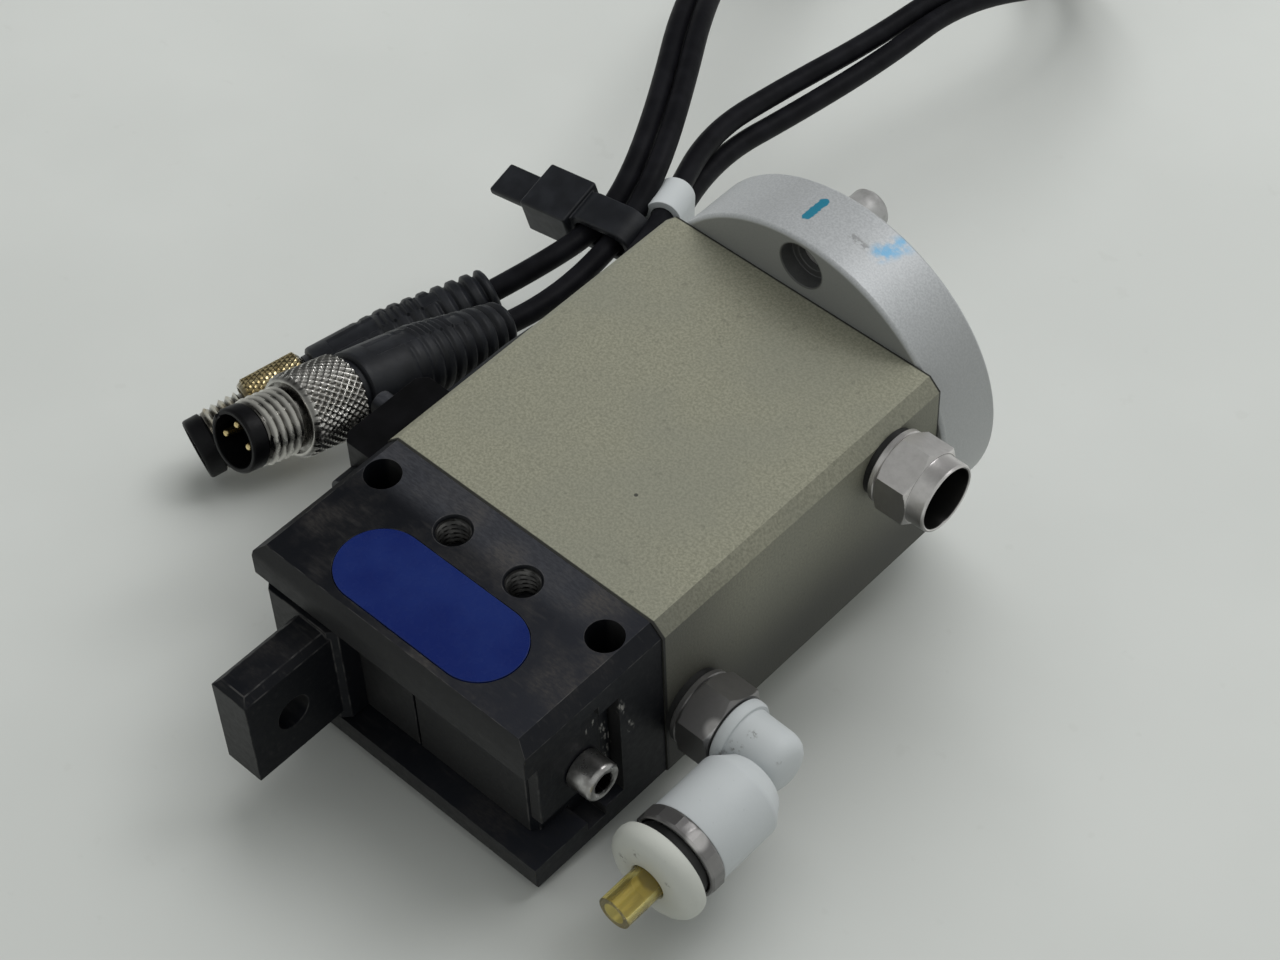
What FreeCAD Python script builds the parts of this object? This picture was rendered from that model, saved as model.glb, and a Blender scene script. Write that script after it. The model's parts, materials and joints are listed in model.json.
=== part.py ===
import FreeCAD
import Part
import Sketcher
import math
import os
import re

from FreeCAD import Rotation, Vector

# Frame: origin at the centre of the disc's rear face, +Y out of that face, jaws towards -Y,
# +X to the fitting side, +Z up as the gripper lies. All sizes are in millimetres.
SIZES = {
    # Housing, disc and guide base
    "body_w": 40.0,  # housing width
    "body_h": 26.4,  # housing height
    "body_len": 44.5,  # housing length
    "over": 1.0,  # how far a cut runs past the face it opens
    "edge_cut": 1.5,  # chamfer on the long edges
    "disc_r": 21.4,  # disc radius
    "disc_t": 9.0,  # disc thickness
    "disc_cut": 0.4,  # disc rim chamfer
    "base_w": 39.6,  # guide base width
    "base_len": 20.0,  # guide base length
    "nose_y": 1.0,  # front chamfer of the base, along Y
    "nose_z": 2.0,  # front chamfer of the base, along Z
    # Jaw slot in the base, measured forwards from the joint with the housing
    "slot_h": 8.3,  # half height of the slot
    "slot_wall": 6.5,  # joint to the rear wall of the slot
    "groove_deep": 1.4,  # depth of the guide grooves
    "groove_w": 2.7,  # width of the guide grooves
    "groove_fwd": 12.1,  # joint to the front side of the grooves
    "slide_gap": 0.1,  # clearance of the ridges in the grooves
    "jaw_gap": 0.5,  # clearance of the jaws in the slot
    "way_gap": 0.3,  # clearance over the forks, above and below
    "bolt_r": 2.1,  # through hole radius
    "bolt_x": 16.1,  # through hole, off centre
    "bolt_fwd": 4.3,  # joint to the through holes
    "tap_r": 1.65,  # tapped hole radius
    "tap_x": 5.05,  # tapped hole, off centre
    "tap_fwd": 4.75,  # joint to the tapped holes
    "tap_deep": 4.5,  # tapped hole depth
    "sink_r": 2.2,  # countersink radius of the tapped holes
    "label_x": 7.3,  # centres of the label's round ends
    "label_r": 4.95,  # label end radius
    "label_fwd": 13.1,  # joint to the label's middle
    "label_deep": 0.4,  # recess for the label
    "label_proud": 0.08,  # label above the face
    "label_gap": 0.1,  # recess wider than the label
    # Screws that join the base and the housing
    "join_x": 10.6,  # off centre
    "join_z": 6.1,  # off centre
    "join_r": 1.25,  # shank radius
    "join_head_r": 2.25,  # head radius
    "join_head": 2.5,  # head height
    "join_gap": 0.1,  # counterbore clearance
    "join_bite": 6.0,  # length of the shank in the housing
    "join_key": 1.15,  # socket corner radius
    # Jaws
    "jaw_in": 0.15,  # inner end, off centre
    "jaw_out": 17.0,  # outer end, off centre
    "jaw_back": 3.0,  # front face behind the front of the base
    "jaw_cut": 0.8,  # chamfer of the outer front edge
    "bay_gap": 0.2,  # clearance of the wedge in its pocket
    "bay_side": 1.3,  # pocket wider than the wedge when open
    "bay_end": 1.2,  # pocket longer than the wedge's travel
    "fork_in": 2.5,  # cam pin to the inner side of the fork
    "fork_out": 2.8,  # cam pin to the outer side of the fork
    "fork_h": 3.3,  # half height over the fork
    "fork_aft": 0.2,  # rear end of the fork behind the joint
    "cam_x": 5.0,  # cam pin, off centre
    "cam_fwd": 2.0,  # joint to the cam pins
    "cam_r": 1.5,  # cam pin radius
    "end_fwd": 11.2,  # joint to the jaw end screws
    "end_r": 1.5,  # end screw shank radius
    "end_hole": 6.5,  # depth of its tapped hole
    "end_reach": 5.8,  # length of its shank in the jaw
    "plate_t": 1.5,  # end plate thickness
    "plate_lap": 0.3,  # end plate beyond the jaw's front
    "plate_short": 1.3,  # jaw's rear beyond the end plate
    "plate_low": 4.0,  # end plate below the middle
    "plate_high": 7.4,  # end plate above the middle
    "head_t": 3.0,  # end screw head height
    "head_r": 2.75,  # head radius
    "key_r": 1.44,  # socket corner radius
    "key_deep": 1.6,  # socket depth
    # Finger on the left jaw
    "foot_t": 3.3,  # foot thickness
    "foot_in": 8.0,  # inner edge of the foot
    "foot_h": 7.6,  # half height of the foot
    "foot_cut": 0.9,  # foot edge chamfer
    "tongue_in": 8.6,  # inner side of the tongue
    "tongue_w": 5.1,  # tongue thickness
    "tongue_h": 7.2,  # half height of the tongue
    "tongue_len": 11.7,  # tongue length from the foot
    "tongue_cut": 0.8,  # tongue edge chamfer
    "eye_fwd": 5.9,  # foot to the cross hole
    "eye_r": 2.1,  # cross hole radius
    # Cylinder inside the housing
    "bore_x": 4.5,  # centres of the oval bore
    "bore_r": 9.5,  # end radius of the oval bore
    "room_gap": 2.7,  # wedge chamber longer than the wedge
    "wall_t": 6.0,  # wall between the chamber and the bore
    "rod_r": 3.5,  # rod radius
    "rod_gap": 0.1,  # rod clearance in the wall
    "bush_r": 5.5,  # bush radius
    "bush_gap": 0.03,  # rod clearance in the bush
    "bush_step": 1.5,  # wall in front of the bush
    "bush_len": 2.5,  # bush length
    "ring_r": 0.82,  # rod seal section radius
    "coil_x": 8.6,  # springs, off centre
    "nest_r": 3.15,  # spring pocket radius
    "nest_deep": 3.0,  # spring pocket depth in the wall
    "cover_t": 4.3,  # cover thickness
    "cover_seal_deep": 1.2,  # cover seal groove depth
    "cover_seal_fwd": 1.2,  # cover's inner face to its seal
    "cover_seal_w": 1.8,  # cover seal width
    # Piston
    "piston_len": 8.5,  # piston length
    "piston_rest": 0.5,  # piston to cover when closed
    "piston_gap": 0.06,  # piston clearance in the bore
    "piston_stroke": 8.0,  # piston travel
    "jaw_stroke": 4.0,  # travel of each jaw
    "cup_deep": 4.8,  # depth of its spring pockets
    "gland_back": 2.8,  # piston front to its seal groove
    "gland_w": 2.2,  # seal groove width
    "gland_deep": 1.34,  # seal groove depth
    "lip_gap": 0.03,  # seal clearance in the bore
    "magnet_x": 11.2,  # magnet, off centre
    "magnet_r": 1.5,  # magnet radius
    "magnet_len": 2.5,  # magnet length
    "stud_r": 2.0,  # piston screw shank radius
    "stud_bite": 5.2,  # its shank in the rod
    "stud_head_r": 3.5,  # its head radius
    "stud_head": 2.7,  # its head height
    "stud_key": 1.73,  # socket corner radius
    # Wedge with two slanted slots
    "wedge_h": 1.7,  # half thickness
    "wedge_lead": 2.3,  # plate beyond the pins' travel
    "wedge_flare": 2.3,  # length at full width
    "wedge_nose": 1.9,  # cam pin to the side in front
    "wedge_rim": 3.2,  # cam pin to the side behind, when open
    "wedge_gap": 0.7,  # wedge clearance in the chamber
    "hub_lap": 3.3,  # hub into the wedge
    "hub_back": 1.2,  # hub behind the wedge
    "track_gap": 0.03,  # pin clearance in the slots
    "track_over": 0.3,  # slot beyond the pin at either end
    # Springs
    "coil_r": 2.5,  # mean radius
    "wire_r": 0.4,  # wire radius
    "coil_turns": 6.0,  # turns
    # Disc
    "fix_x": 14.5,  # disc screws, off centre
    "fix_z": 9.6,  # disc screws, off centre
    "fix_r": 1.5,  # shank radius
    "fix_head_r": 2.75,  # head radius
    "fix_head": 3.0,  # head height
    "fix_sink": 3.4,  # counterbore depth
    "fix_gap": 0.15,  # counterbore clearance
    "fix_bite": 6.0,  # shank in the housing
    "dowel_edge": 3.8,  # disc rim to the locating pin
    "dowel_r": 2.5,  # locating pin radius
    "dowel_shank": 2.0,  # radius of its shank in the disc
    "dowel_in": 6.2,  # its shank length
    "dowel_out": 3.5,  # length that stands out
    "dowel_cut": 0.5,  # pin end chamfer
    "mouth_r": 2.9,  # widened front of the pin hole
    "mouth_deep": 2.0,  # depth of that widening
    "mount_x": 16.5,  # tapped mounting holes, off centre
    "mount_r": 1.65,  # tapped mounting hole radius
    "mount_deep": 7.0,  # their depth
    # Air fittings
    "port_r": 2.1,  # port radius
    "port_deep": 3.2,  # port depth
    "port_aft": 4.0,  # joint to the front port
    "port_fz": -3.0,  # front port height
    "port_fwd": 8.8,  # housing's rear to the rear port
    "port_rz": 8.0,  # rear port height
    "pad_r": 4.1,  # gasket radius
    "pad_t": 0.8,  # gasket thickness
    "washer_r": 4.7,  # shoulder of the fitting under its hexagon
    "washer_t": 0.9,  # its thickness
    "hex_r": 4.62,  # hexagon corner radius
    "hex_t": 4.0,  # hexagon height with its shoulder
    "stem_r": 2.6,  # swivel stem radius
    "stem_len": 5.2,  # stem length
    "stem_gap": 0.05,  # stem clearance in the elbow
    "vent_r": 1.1,  # bore of the fittings
    "cup_r": 3.9,  # outer radius of the open rear fitting
    "cup_len": 3.0,  # its length beyond the hexagon
    "socket_r": 3.4,  # its socket radius
    "socket_deep": 6.2,  # its socket depth
    # Elbow
    "neck_gap": 0.25,  # hexagon to the neck
    "neck_r": 3.5,  # neck radius
    "neck_end": 2.3,  # neck beyond the axis of the barrel
    "brim_r": 4.3,  # rim of the neck at the hexagon
    "brim_t": 0.9,  # rim thickness
    "bend_out": 11.6,  # housing side to the axis of the barrel
    "barrel_r": 5.15,  # barrel radius
    "barrel_len": 12.8,  # port to the open end of the barrel
    "barrel_thick": 7.2,  # length at full radius
    "slope": 2.4,  # length of the taper behind it, into the neck
    "waist_r": 3.0,  # radius at the end of the taper
    "band_len": 2.4,  # clamp ring length
    "band_r": 5.4,  # clamp ring radius
    "grip_bore": 3.3,  # bore for the collar
    "grip_deep": 4.8,  # depth of that bore
    "tube_r": 2.0,  # tube radius
    "tube_in": 1.25,  # tube bore radius
    "tube_gap": 0.05,  # collar over the tube
    "tube_deep": 6.3,  # tube in the elbow
    "tube_len": 18.0,  # tube length
    "collar_out": 1.7,  # clamp ring to the collar's flange
    "collar_t": 2.7,  # flange thickness
    "collar_r": 5.9,  # flange radius
    "collar_cut": 0.6,  # flange edge chamfer
    "collar_gap": 0.1,  # collar in its bore
    "collar_room": 1.6,  # collar to the bottom of its bore
    # Sensors and their bracket
    "bracket_t": 5.2,  # bracket thickness
    "bracket_fwd": 2.3,  # joint to the bracket's front
    "bracket_len": 12.5,  # bracket length
    "bracket_low": 6.6,  # bracket below the middle
    "bracket_high": 10.4,  # bracket above the middle
    "bracket_cut": 1.0,  # bracket edge chamfer
    "probe_off": 2.6,  # housing side to the sensor axes
    "probe_z1": 5.0,  # upper sensor height
    "probe_z2": -1.0,  # lower sensor height
    "probe_r": 2.0,  # sensor radius
    "probe_fwd": 5.0,  # joint to the sensors' front
    "probe_len": 27.0,  # sensor length
    "tail_len": 4.0,  # strain relief length
    "tail_r": 1.75,  # strain relief radius
    "clamp_aft": 5.0,  # joint to the bracket screws
    "clamp_z1": 8.7,  # upper bracket screw height
    "clamp_z2": -4.6,  # lower bracket screw height
    "clamp_r": 1.0,  # shank radius
    "clamp_head_r": 1.5,  # head radius
    "clamp_head": 1.6,  # head height
    "clamp_key": 0.58,  # socket corner radius
    "clamp_bite": 3.5,  # shank in the housing
    # Plugs, measured from the cable end
    "cable_r": 1.4,  # cable radius
    "cap_r": 3.1,  # grip radius at the cable
    "cap_len": 13.0,  # length of the taper from there
    "grip_r": 4.55,  # grip radius
    "grip_len": 23.2,  # grip length
    "core_r": 3.3,  # insert radius
    "plug_len": 39.6,  # whole plug
    "face_r": 3.6,  # insert radius in front of the nut
    "face_gap": 0.2,  # thread end to that face
    "core_in": 2.75,  # recess radius of the insert
    "recess": 4.0,  # recess depth
    "flange_r": 3.9,  # shoulder the nut turns on
    "flange_t": 0.7,  # its thickness
    "pin_r": 0.5,  # contact radius
    "pin_back": 0.6,  # contact tip behind the front
    "pin_circle": 1.5,  # contact circle radius
    "knurl_r": 4.95,  # nut radius
    "knurl_gap": 0.3,  # shoulder to the nut
    "knurl_len": 8.0,  # knurled length
    "screw_r": 4.0,  # thread radius
    "screw_len": 5.4,  # thread length
    "nut_gap": 0.08,  # nut clearance on the insert
    # Tie and sleeve on the cables
    "tie_w": 4.6,  # tie width
    "tie_t": 1.1,  # tie thickness
    "tie_gap": 0.3,  # tie over the cables
    "tie_half": 2.15,  # half the spacing of the tied cables
    "tie_set": 0.2,  # cables to the tie head
    "tie_head": 7.0,  # tie head length
    "tie_hw": 3.4,  # half width of the tie head, along the cables
    "tie_hh": 2.7,  # half height of the tie head
    "tie_end": 6.4,  # cut end beyond the head
    "white_len": 5.4,  # sleeve length
    "white_half": 1.6,  # half the spacing of the sleeved cables
    "white_gap": 0.1,  # sleeve over the cables
    "white_wall": 0.9,  # sleeve wall
    # Fronts of the two plugs
    "near_fx": -34.03,
    "near_fy": -63.29,
    "near_fz": 9.54,
    "far_fx": -51.04,
    "far_fy": -57.39,
    "far_fz": -10.17,
}

# Places and sizes that follow from those
FORMULAS = {
    # Housing, disc and guide base
    "y_rear": "-disc_t",  # rear face of the housing
    "y_mid": "y_rear-body_len",  # joint of housing and base
    "y_front": "y_mid-base_len",  # front face of the base
    "side_x": "body_w/2",  # right face of the housing
    "left_x": "-body_w/2",  # left face of the housing
    "slot_rear": "y_mid-slot_wall",
    "groove_h": "slot_h+groove_deep",
    "groove_a": "y_mid-groove_fwd",
    "groove_b": "groove_a+groove_w",
    "bolt_y": "y_mid-bolt_fwd",
    "tap_y": "y_mid-tap_fwd",
    "label_y": "y_mid-label_fwd",
    "join_end": "y_mid+join_bite",
    # Jaws and finger
    "jaw_h": "slot_h-jaw_gap",
    "jaw_front": "y_front+jaw_back",
    "jaw_rear": "slot_rear-jaw_gap",
    "ridge_h": "groove_h-slide_gap",
    "ridge_a": "groove_a+slide_gap",
    "ridge_b": "groove_b-slide_gap",
    "cam_y": "y_mid-cam_fwd",
    "fork_rear": "y_mid+fork_aft",
    "end_y": "y_mid-end_fwd",
    "end_in": "jaw_out-end_hole",
    "end_tip": "jaw_out-end_reach",
    "plate_out": "jaw_out+plate_t",
    "plate_front": "jaw_front-plate_lap",
    "plate_rear": "jaw_rear-plate_short",
    "head_out": "plate_out+head_t",
    "foot_front": "jaw_front-foot_t",
    "tongue_out": "tongue_in+tongue_w",
    "tongue_front": "foot_front-tongue_len",
    "eye_y": "foot_front-eye_fwd",
    # Wedge and the slots that drive the jaws
    "wedge_a": "cam_y-wedge_lead",  # front edge
    "wedge_c": "cam_y+piston_stroke+wedge_lead",  # rear edge
    "wedge_b": "wedge_c-wedge_flare",  # where the full width starts
    "wedge_w1": "cam_x+wedge_nose",
    "wedge_w2": "cam_x+jaw_stroke+wedge_rim",
    "way_w": "wedge_w2+wedge_gap",
    "way_h": "fork_h+way_gap",
    "bay_w": "wedge_w2-jaw_stroke+bay_side",
    "bay_h": "wedge_h+bay_gap",
    "bay_y": "wedge_a-piston_stroke-bay_end",
    "hub_y": "wedge_c-hub_lap",
    "rod_a": "wedge_c+hub_back",
    "track_r": "cam_r+track_gap",
    "track_x": "track_over*jaw_stroke/piston_stroke",
    "track_len": "sqrt(piston_stroke^2+jaw_stroke^2)",
    "track_u": "track_r*piston_stroke/track_len",
    "track_v": "track_r*jaw_stroke/track_len",
    # Cylinder, piston and springs
    "room_y": "wedge_c+room_gap",
    "bore_y": "room_y+wall_t",
    "bush_in": "rod_r+bush_gap",
    "bush_a": "room_y+bush_step",
    "bush_b": "bush_a+bush_len",
    "ring_y": "(bush_b+bore_y)/2",
    "nest_y": "bore_y-nest_deep",
    "cover_y": "y_rear-cover_t",
    "cover_seal_r": "bore_r-cover_seal_deep",
    "cover_seal_a": "cover_y+cover_seal_fwd",
    "cover_seal_b": "cover_seal_a+cover_seal_w",
    "piston_b": "cover_y-piston_rest",
    "piston_a": "piston_b-piston_len",
    "piston_r": "bore_r-piston_gap",
    "cup_y": "piston_a+cup_deep",
    "gland_a": "piston_a+gland_back",
    "gland_b": "gland_a+gland_w",
    "gland_r": "piston_r-gland_deep",
    "lip_r": "bore_r-lip_gap",
    "magnet_y": "piston_b-magnet_len",
    "stud_a": "piston_a-stud_bite",
    "stud_head_y": "piston_b-stud_head",
    "coil_len": "cup_y-nest_y-2*wire_r",
    # Disc
    "fix_end": "y_rear-fix_bite",
    "mouth_y": "-disc_t+mouth_deep",
    "dowel_z": "disc_r-dowel_edge",  # locating pin height
    # Air fittings and elbow
    "port_in": "side_x-port_deep",
    "port_fy": "y_mid+port_aft",
    "port_ry": "y_rear-port_fwd",
    "washer_x": "side_x+pad_t+washer_t",
    "nut_x": "side_x+pad_t+hex_t",
    "stem_x": "nut_x+stem_len",
    "cup_x": "nut_x+cup_len",
    "socket_x": "cup_x-socket_deep",
    "neck_x": "nut_x+neck_gap",
    "neck_bore": "stem_r+stem_gap",
    "bend_x": "side_x+bend_out",
    "neck_out": "bend_x+neck_end",
    "barrel_front": "port_fy-barrel_len",
    "barrel_rear": "barrel_front+barrel_thick",
    "waist_y": "barrel_rear+slope",
    "band_front": "barrel_front-band_len",
    "grip_y": "barrel_front+grip_deep",
    "tube_rear": "barrel_front+tube_deep",
    "tube_front": "tube_rear-tube_len",
    "collar_b": "band_front-collar_out",
    "collar_a": "collar_b-collar_t",
    "sleeve_r": "grip_bore-collar_gap",
    "sleeve_y": "grip_y-collar_room",
    # Sensors
    "bracket_x": "left_x-bracket_t",
    "bracket_a": "y_mid-bracket_fwd",
    "bracket_b": "bracket_a+bracket_len",
    "probe_x": "left_x-probe_off",
    "probe_a": "y_mid-probe_fwd",
    "probe_b": "probe_a+probe_len",
    "probe_tail": "probe_b+tail_len",
    "clamp_y": "y_mid+clamp_aft",
    "clamp_in": "left_x+clamp_bite",
    # Plugs, tie and sleeve
    "core_deep": "plug_len-recess",
    "flange_end": "grip_len+flange_t",
    "pin_tip": "plug_len-pin_back",
    "knurl_a": "flange_end+knurl_gap",
    "knurl_b": "knurl_a+knurl_len",
    "screw_end": "knurl_b+screw_len",
    "face_a": "screw_end+face_gap",
    "nut_bore": "core_r+nut_gap",
    "tie_ring": "cable_r+tie_gap",
    "tie_a": "tie_half+tie_ring+tie_set",
    "tie_b": "tie_a+tie_head",
    "tie_tail": "tie_b+tie_end",
    "white_bore": "cable_r+white_gap",
    "white_r": "white_bore+white_wall",
}

doc = FreeCAD.newDocument("parallel_gripper")
sheet = doc.addObject("Spreadsheet::Sheet", "Sizes")
aliases = []


def size(name, value):
    """One named size in the sheet; a text value is a formula."""
    row = len(aliases) + 1
    sheet.set("A%d" % row, name)
    sheet.set("B%d" % row, "=" + value if isinstance(value, str) else str(value))
    sheet.setAlias("B%d" % row, name)
    aliases.append(name)


for name, value in list(SIZES.items()) + list(FORMULAS.items()):
    size(name, value)

# Corners of the two cable runs; each corner is rounded to a tangent arc
runs = {}
LETTERS = "abcdefghijklmnopqrstuvwxyz"


def spot(cable, x, y, z):
    """One corner of a cable run; gives back its place in the run."""
    k = len(runs.setdefault(cable, []))
    runs[cable].append(["%s_%s%s" % (cable, axis, LETTERS[k]) for axis in "xyz"])
    for alias, value in zip(runs[cable][k], (x, y, z)):
        size(alias, value)
    return k


spot("lower", "probe_x", "probe_tail", "probe_z2")
spot("lower", "probe_x", -18.5, "probe_z2")
spot("lower", -26.7, -6.9, -4.4)
lower_sleeved = spot("lower", -31.4, 3.0, -6.1)
spot("lower", -35.8, 16.9, -7.0)
spot("lower", -33.2, 30.2, -7.4)
spot("lower", -31.2, 45.7, -7.8)
spot("lower", -31.1, 61.7, -8.0)
spot("lower", -27.5, 80.0, -15.0)
spot("lower", -30.0, 97.3, -24.2)
spot("lower", -44.3, 104.1, -32.5)
spot("lower", -61.0, 102.2, -33.8)
spot("lower", -73.2, 89.9, -29.3)
spot("lower", -74.0, 75.0, -21.0)
spot("lower", -68.0, 56.0, -10.5)
spot("lower", -53.8, 30.1, 0.0)
spot("lower", -43.7, 14.9, 0.3)
spot("lower", -37.2, 2.8, -0.6)
lower_tied = spot("lower", -36.2, -4.2, -3.4)
spot("lower", -36.34, -13.2, -3.09)
spot("lower", -38.68, -20.24, -4.22)
spot("upper", "probe_x", "probe_tail", "probe_z1")
spot("upper", "probe_x", -18.5, "probe_z1")
spot("upper", -26.7, -6.9, -0.3)
upper_sleeved = spot("upper", -31.4, 3.4, -2.9)
spot("upper", -37.2, 17.1, -4.0)
spot("upper", -36.7, 30.9, -5.6)
spot("upper", -35.2, 46.5, -7.0)
spot("upper", -34.6, 61.7, -8.0)
spot("upper", -32.0, 78.0, -14.0)
spot("upper", -32.7, 91.3, -21.2)
spot("upper", -44.0, 99.9, -29.1)
spot("upper", -58.8, 99.2, -30.8)
spot("upper", -69.7, 89.6, -26.5)
spot("upper", -70.8, 74.0, -19.2)
spot("upper", -64.5, 56.0, -9.5)
spot("upper", -50.8, 32.3, 0.3)
spot("upper", -41.1, 17.1, 0.4)
spot("upper", -34.5, 5.2, 0.0)
upper_tied = spot("upper", -32.2, -3.6, -2.9)
spot("upper", -31.47, -17.66, -3.71)
spot("upper", -31.9, -25.33, -1.48)
doc.recompute()

names = re.compile("[a-z][a-z0-9_]*")
scratch = [0]


def ref(text):
    """The same formula as seen from outside the sheet."""
    return names.sub(lambda m: "Sizes." + m.group(0) if m.group(0) in aliases else m.group(0), text)


def num(text):
    """The number a formula stands for, worked out by the sheet."""
    scratch[0] += 1
    cell = "E%d" % scratch[0]
    sheet.set(cell, "=" + text)
    sheet.recompute()
    value = sheet.get(cell)
    return float(getattr(value, "Value", value))


def bind(obj, prop, text):
    obj.setExpression(prop, ref(text))
    return obj


def seat(obj, x, y, z, turn=None):
    if turn is not None:
        obj.Placement.Rotation = turn
    bind(obj, "Placement.Base.x", x)
    bind(obj, "Placement.Base.y", y)
    bind(obj, "Placement.Base.z", z)
    return obj


def box(x0, x1, y0, y1, z0, z1):
    obj = doc.addObject("Part::Box", "block")
    bind(obj, "Length", "(%s)-(%s)" % (x1, x0))
    bind(obj, "Width", "(%s)-(%s)" % (y1, y0))
    bind(obj, "Height", "(%s)-(%s)" % (z1, z0))
    return seat(obj, x0, y0, z0)


TURN = {"x": Rotation(Vector(0, 1, 0), 90), "y": Rotation(Vector(1, 0, 0), -90), "z": Rotation()}


def along(obj, axis, start, u, v):
    """Puts a shape made on +Z on to an axis; u and v are the other two coordinates in order."""
    place = {"x": (start, u, v), "y": (u, start, v), "z": (u, v, start)}[axis]
    return seat(obj, place[0], place[1], place[2], TURN[axis])


def rod(axis, radius, a, b, u="0", v="0"):
    obj = doc.addObject("Part::Cylinder", "round")
    bind(obj, "Radius", radius)
    bind(obj, "Height", "(%s)-(%s)" % (b, a))
    return along(obj, axis, a, u, v)


def cone(axis, radius_a, radius_b, a, b, u="0", v="0"):
    obj = doc.addObject("Part::Cone", "taper")
    bind(obj, "Radius1", radius_a)
    bind(obj, "Radius2", radius_b)
    bind(obj, "Height", "(%s)-(%s)" % (b, a))
    return along(obj, axis, a, u, v)


def hexagon(axis, corner, a, b, u="0", v="0"):
    obj = doc.addObject("Part::Prism", "hexagon")
    obj.Polygon = 6
    bind(obj, "Circumradius", corner)
    bind(obj, "Height", "(%s)-(%s)" % (b, a))
    return along(obj, axis, a, u, v)


def join(*parts):
    if len(parts) == 1:
        return parts[0]
    obj = doc.addObject("Part::MultiFuse", "union")
    obj.Shapes = list(parts)
    obj.Refine = True
    return obj


def cut(base, *tools):
    obj = doc.addObject("Part::Cut", "cut")
    obj.Base = base
    obj.Tool = join(*tools)
    obj.Refine = True
    return obj


def both(a, b):
    obj = doc.addObject("Part::Common", "common")
    obj.Base = a
    obj.Tool = b
    return obj


FLAT = {
    "xy": Rotation(),
    "xz": Rotation(Vector(1, 0, 0), 90),
    "yz": Rotation(Vector(1, 1, 1), 120),
}


def drawing(plane, points):
    """A closed sketch whose every corner is tied to the sheet."""
    sketch = doc.addObject("Sketcher::SketchObject", "outline")
    sketch.Placement.Rotation = FLAT[plane]
    spots = [Vector(num(p), num(q), 0) for p, q in points]
    count = len(spots)
    for i in range(count):
        sketch.addGeometry(Part.LineSegment(spots[i], spots[(i + 1) % count]), False)
    for i in range(count):
        sketch.addConstraint(Sketcher.Constraint("Coincident", i, 2, (i + 1) % count, 1))
    for i in range(count):
        for kind, text, value in zip(("DistanceX", "DistanceY"), points[i], spots[i]):
            k = sketch.addConstraint(Sketcher.Constraint(kind, -1, 1, i, 1, value))
            sketch.setExpression("Constraints[%d]" % k, ref(text))
    return sketch


def slab(plane, points, a, b):
    """A drawing drawn out from a to b along the axis it does not use."""
    sketch = drawing(plane, points)
    obj = doc.addObject("Part::Extrusion", "slab")
    obj.Base = sketch
    obj.DirMode = "Normal"
    obj.Solid = True
    bind(obj, "LengthFwd", "(%s)-(%s)" % (b, a))
    if plane == "xy":
        bind(sketch, "Placement.Base.z", a)
    elif plane == "yz":
        bind(sketch, "Placement.Base.x", a)
    else:
        bind(sketch, "Placement.Base.y", b)
    return obj


def spun(points):
    """A turned shape about +Z; points are radius and height."""
    sketch = drawing("xz", points)
    obj = doc.addObject("Part::Revolution", "turned")
    obj.Source = sketch
    obj.Axis = Vector(0, 0, 1)
    obj.Base = Vector(0, 0, 0)
    obj.Angle = 360
    obj.Solid = True
    return obj


def oval(half, radius, a, b):
    """An oval bar along Y with its long way across."""
    return join(
        box("-" + half, half, a, b, "-(%s)" % radius, radius),
        rod("y", radius, a, b, half, "0"),
        rod("y", radius, a, b, "-" + half, "0"),
    )


def flat_oval(half, radius, y, a, b):
    """An oval plate lying flat with its long way across."""
    return join(
        box("-" + half, half, "%s-(%s)" % (y, radius), "%s+%s" % (y, radius), a, b),
        rod("z", radius, a, b, half, y),
        rod("z", radius, a, b, "-" + half, y),
    )


def bevelled(w, h, c):
    """Corners of an upright rectangle w by h with its corners cut."""
    return [
        ("-%s/2+%s" % (w, c), "-%s/2" % h), ("%s/2-%s" % (w, c), "-%s/2" % h),
        ("%s/2" % w, "-%s/2+%s" % (h, c)), ("%s/2" % w, "%s/2-%s" % (h, c)),
        ("%s/2-%s" % (w, c), "%s/2" % h), ("-%s/2+%s" % (w, c), "%s/2" % h),
        ("-%s/2" % w, "%s/2-%s" % (h, c)), ("-%s/2" % w, "-%s/2+%s" % (h, c)),
    ]


nodes = []


def node(name, obj):
    obj.Label = name
    nodes.append((name, obj))
    return obj


SIGNS = ("", "-")
CORNERS = [(p, q) for p in SIGNS for q in SIGNS]


def cap_screw(axis, r, head_r, key, tip, under, top, deep, u, v):
    """Socket head screw between its tip and the top of its head, either way round."""
    if num(top) > num(tip):
        body = join(rod(axis, r, tip, under, u, v), rod(axis, head_r, under, top, u, v))
        return cut(body, hexagon(axis, key, "%s-%s" % (top, deep), top, u, v))
    body = join(rod(axis, r, under, tip, u, v), rod(axis, head_r, top, under, u, v))
    return cut(body, hexagon(axis, key, top, "%s+%s" % (top, deep), u, v))


# Guide base
side = [
    ("y_mid", "-body_h/2"), ("y_mid", "body_h/2"), ("y_front+nose_y", "body_h/2"),
    ("y_front", "body_h/2-nose_z"), ("y_front", "slot_h"), ("groove_a", "slot_h"),
    ("groove_a", "groove_h"), ("groove_b", "groove_h"), ("groove_b", "slot_h"),
    ("slot_rear", "slot_h"), ("slot_rear", "-slot_h"), ("groove_b", "-slot_h"),
    ("groove_b", "-groove_h"), ("groove_a", "-groove_h"), ("groove_a", "-slot_h"),
    ("y_front", "-slot_h"), ("y_front", "-body_h/2+nose_z"), ("y_front+nose_y", "-body_h/2"),
]
blank = both(
    slab("yz", side, "-base_w/2", "base_w/2"),
    slab("xz", bevelled("base_w", "body_h", "edge_cut"), "y_front", "y_mid"),
)
holes = [box("-way_w", "way_w", "slot_rear-over", "y_mid+over", "-way_h", "way_h")]
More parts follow.
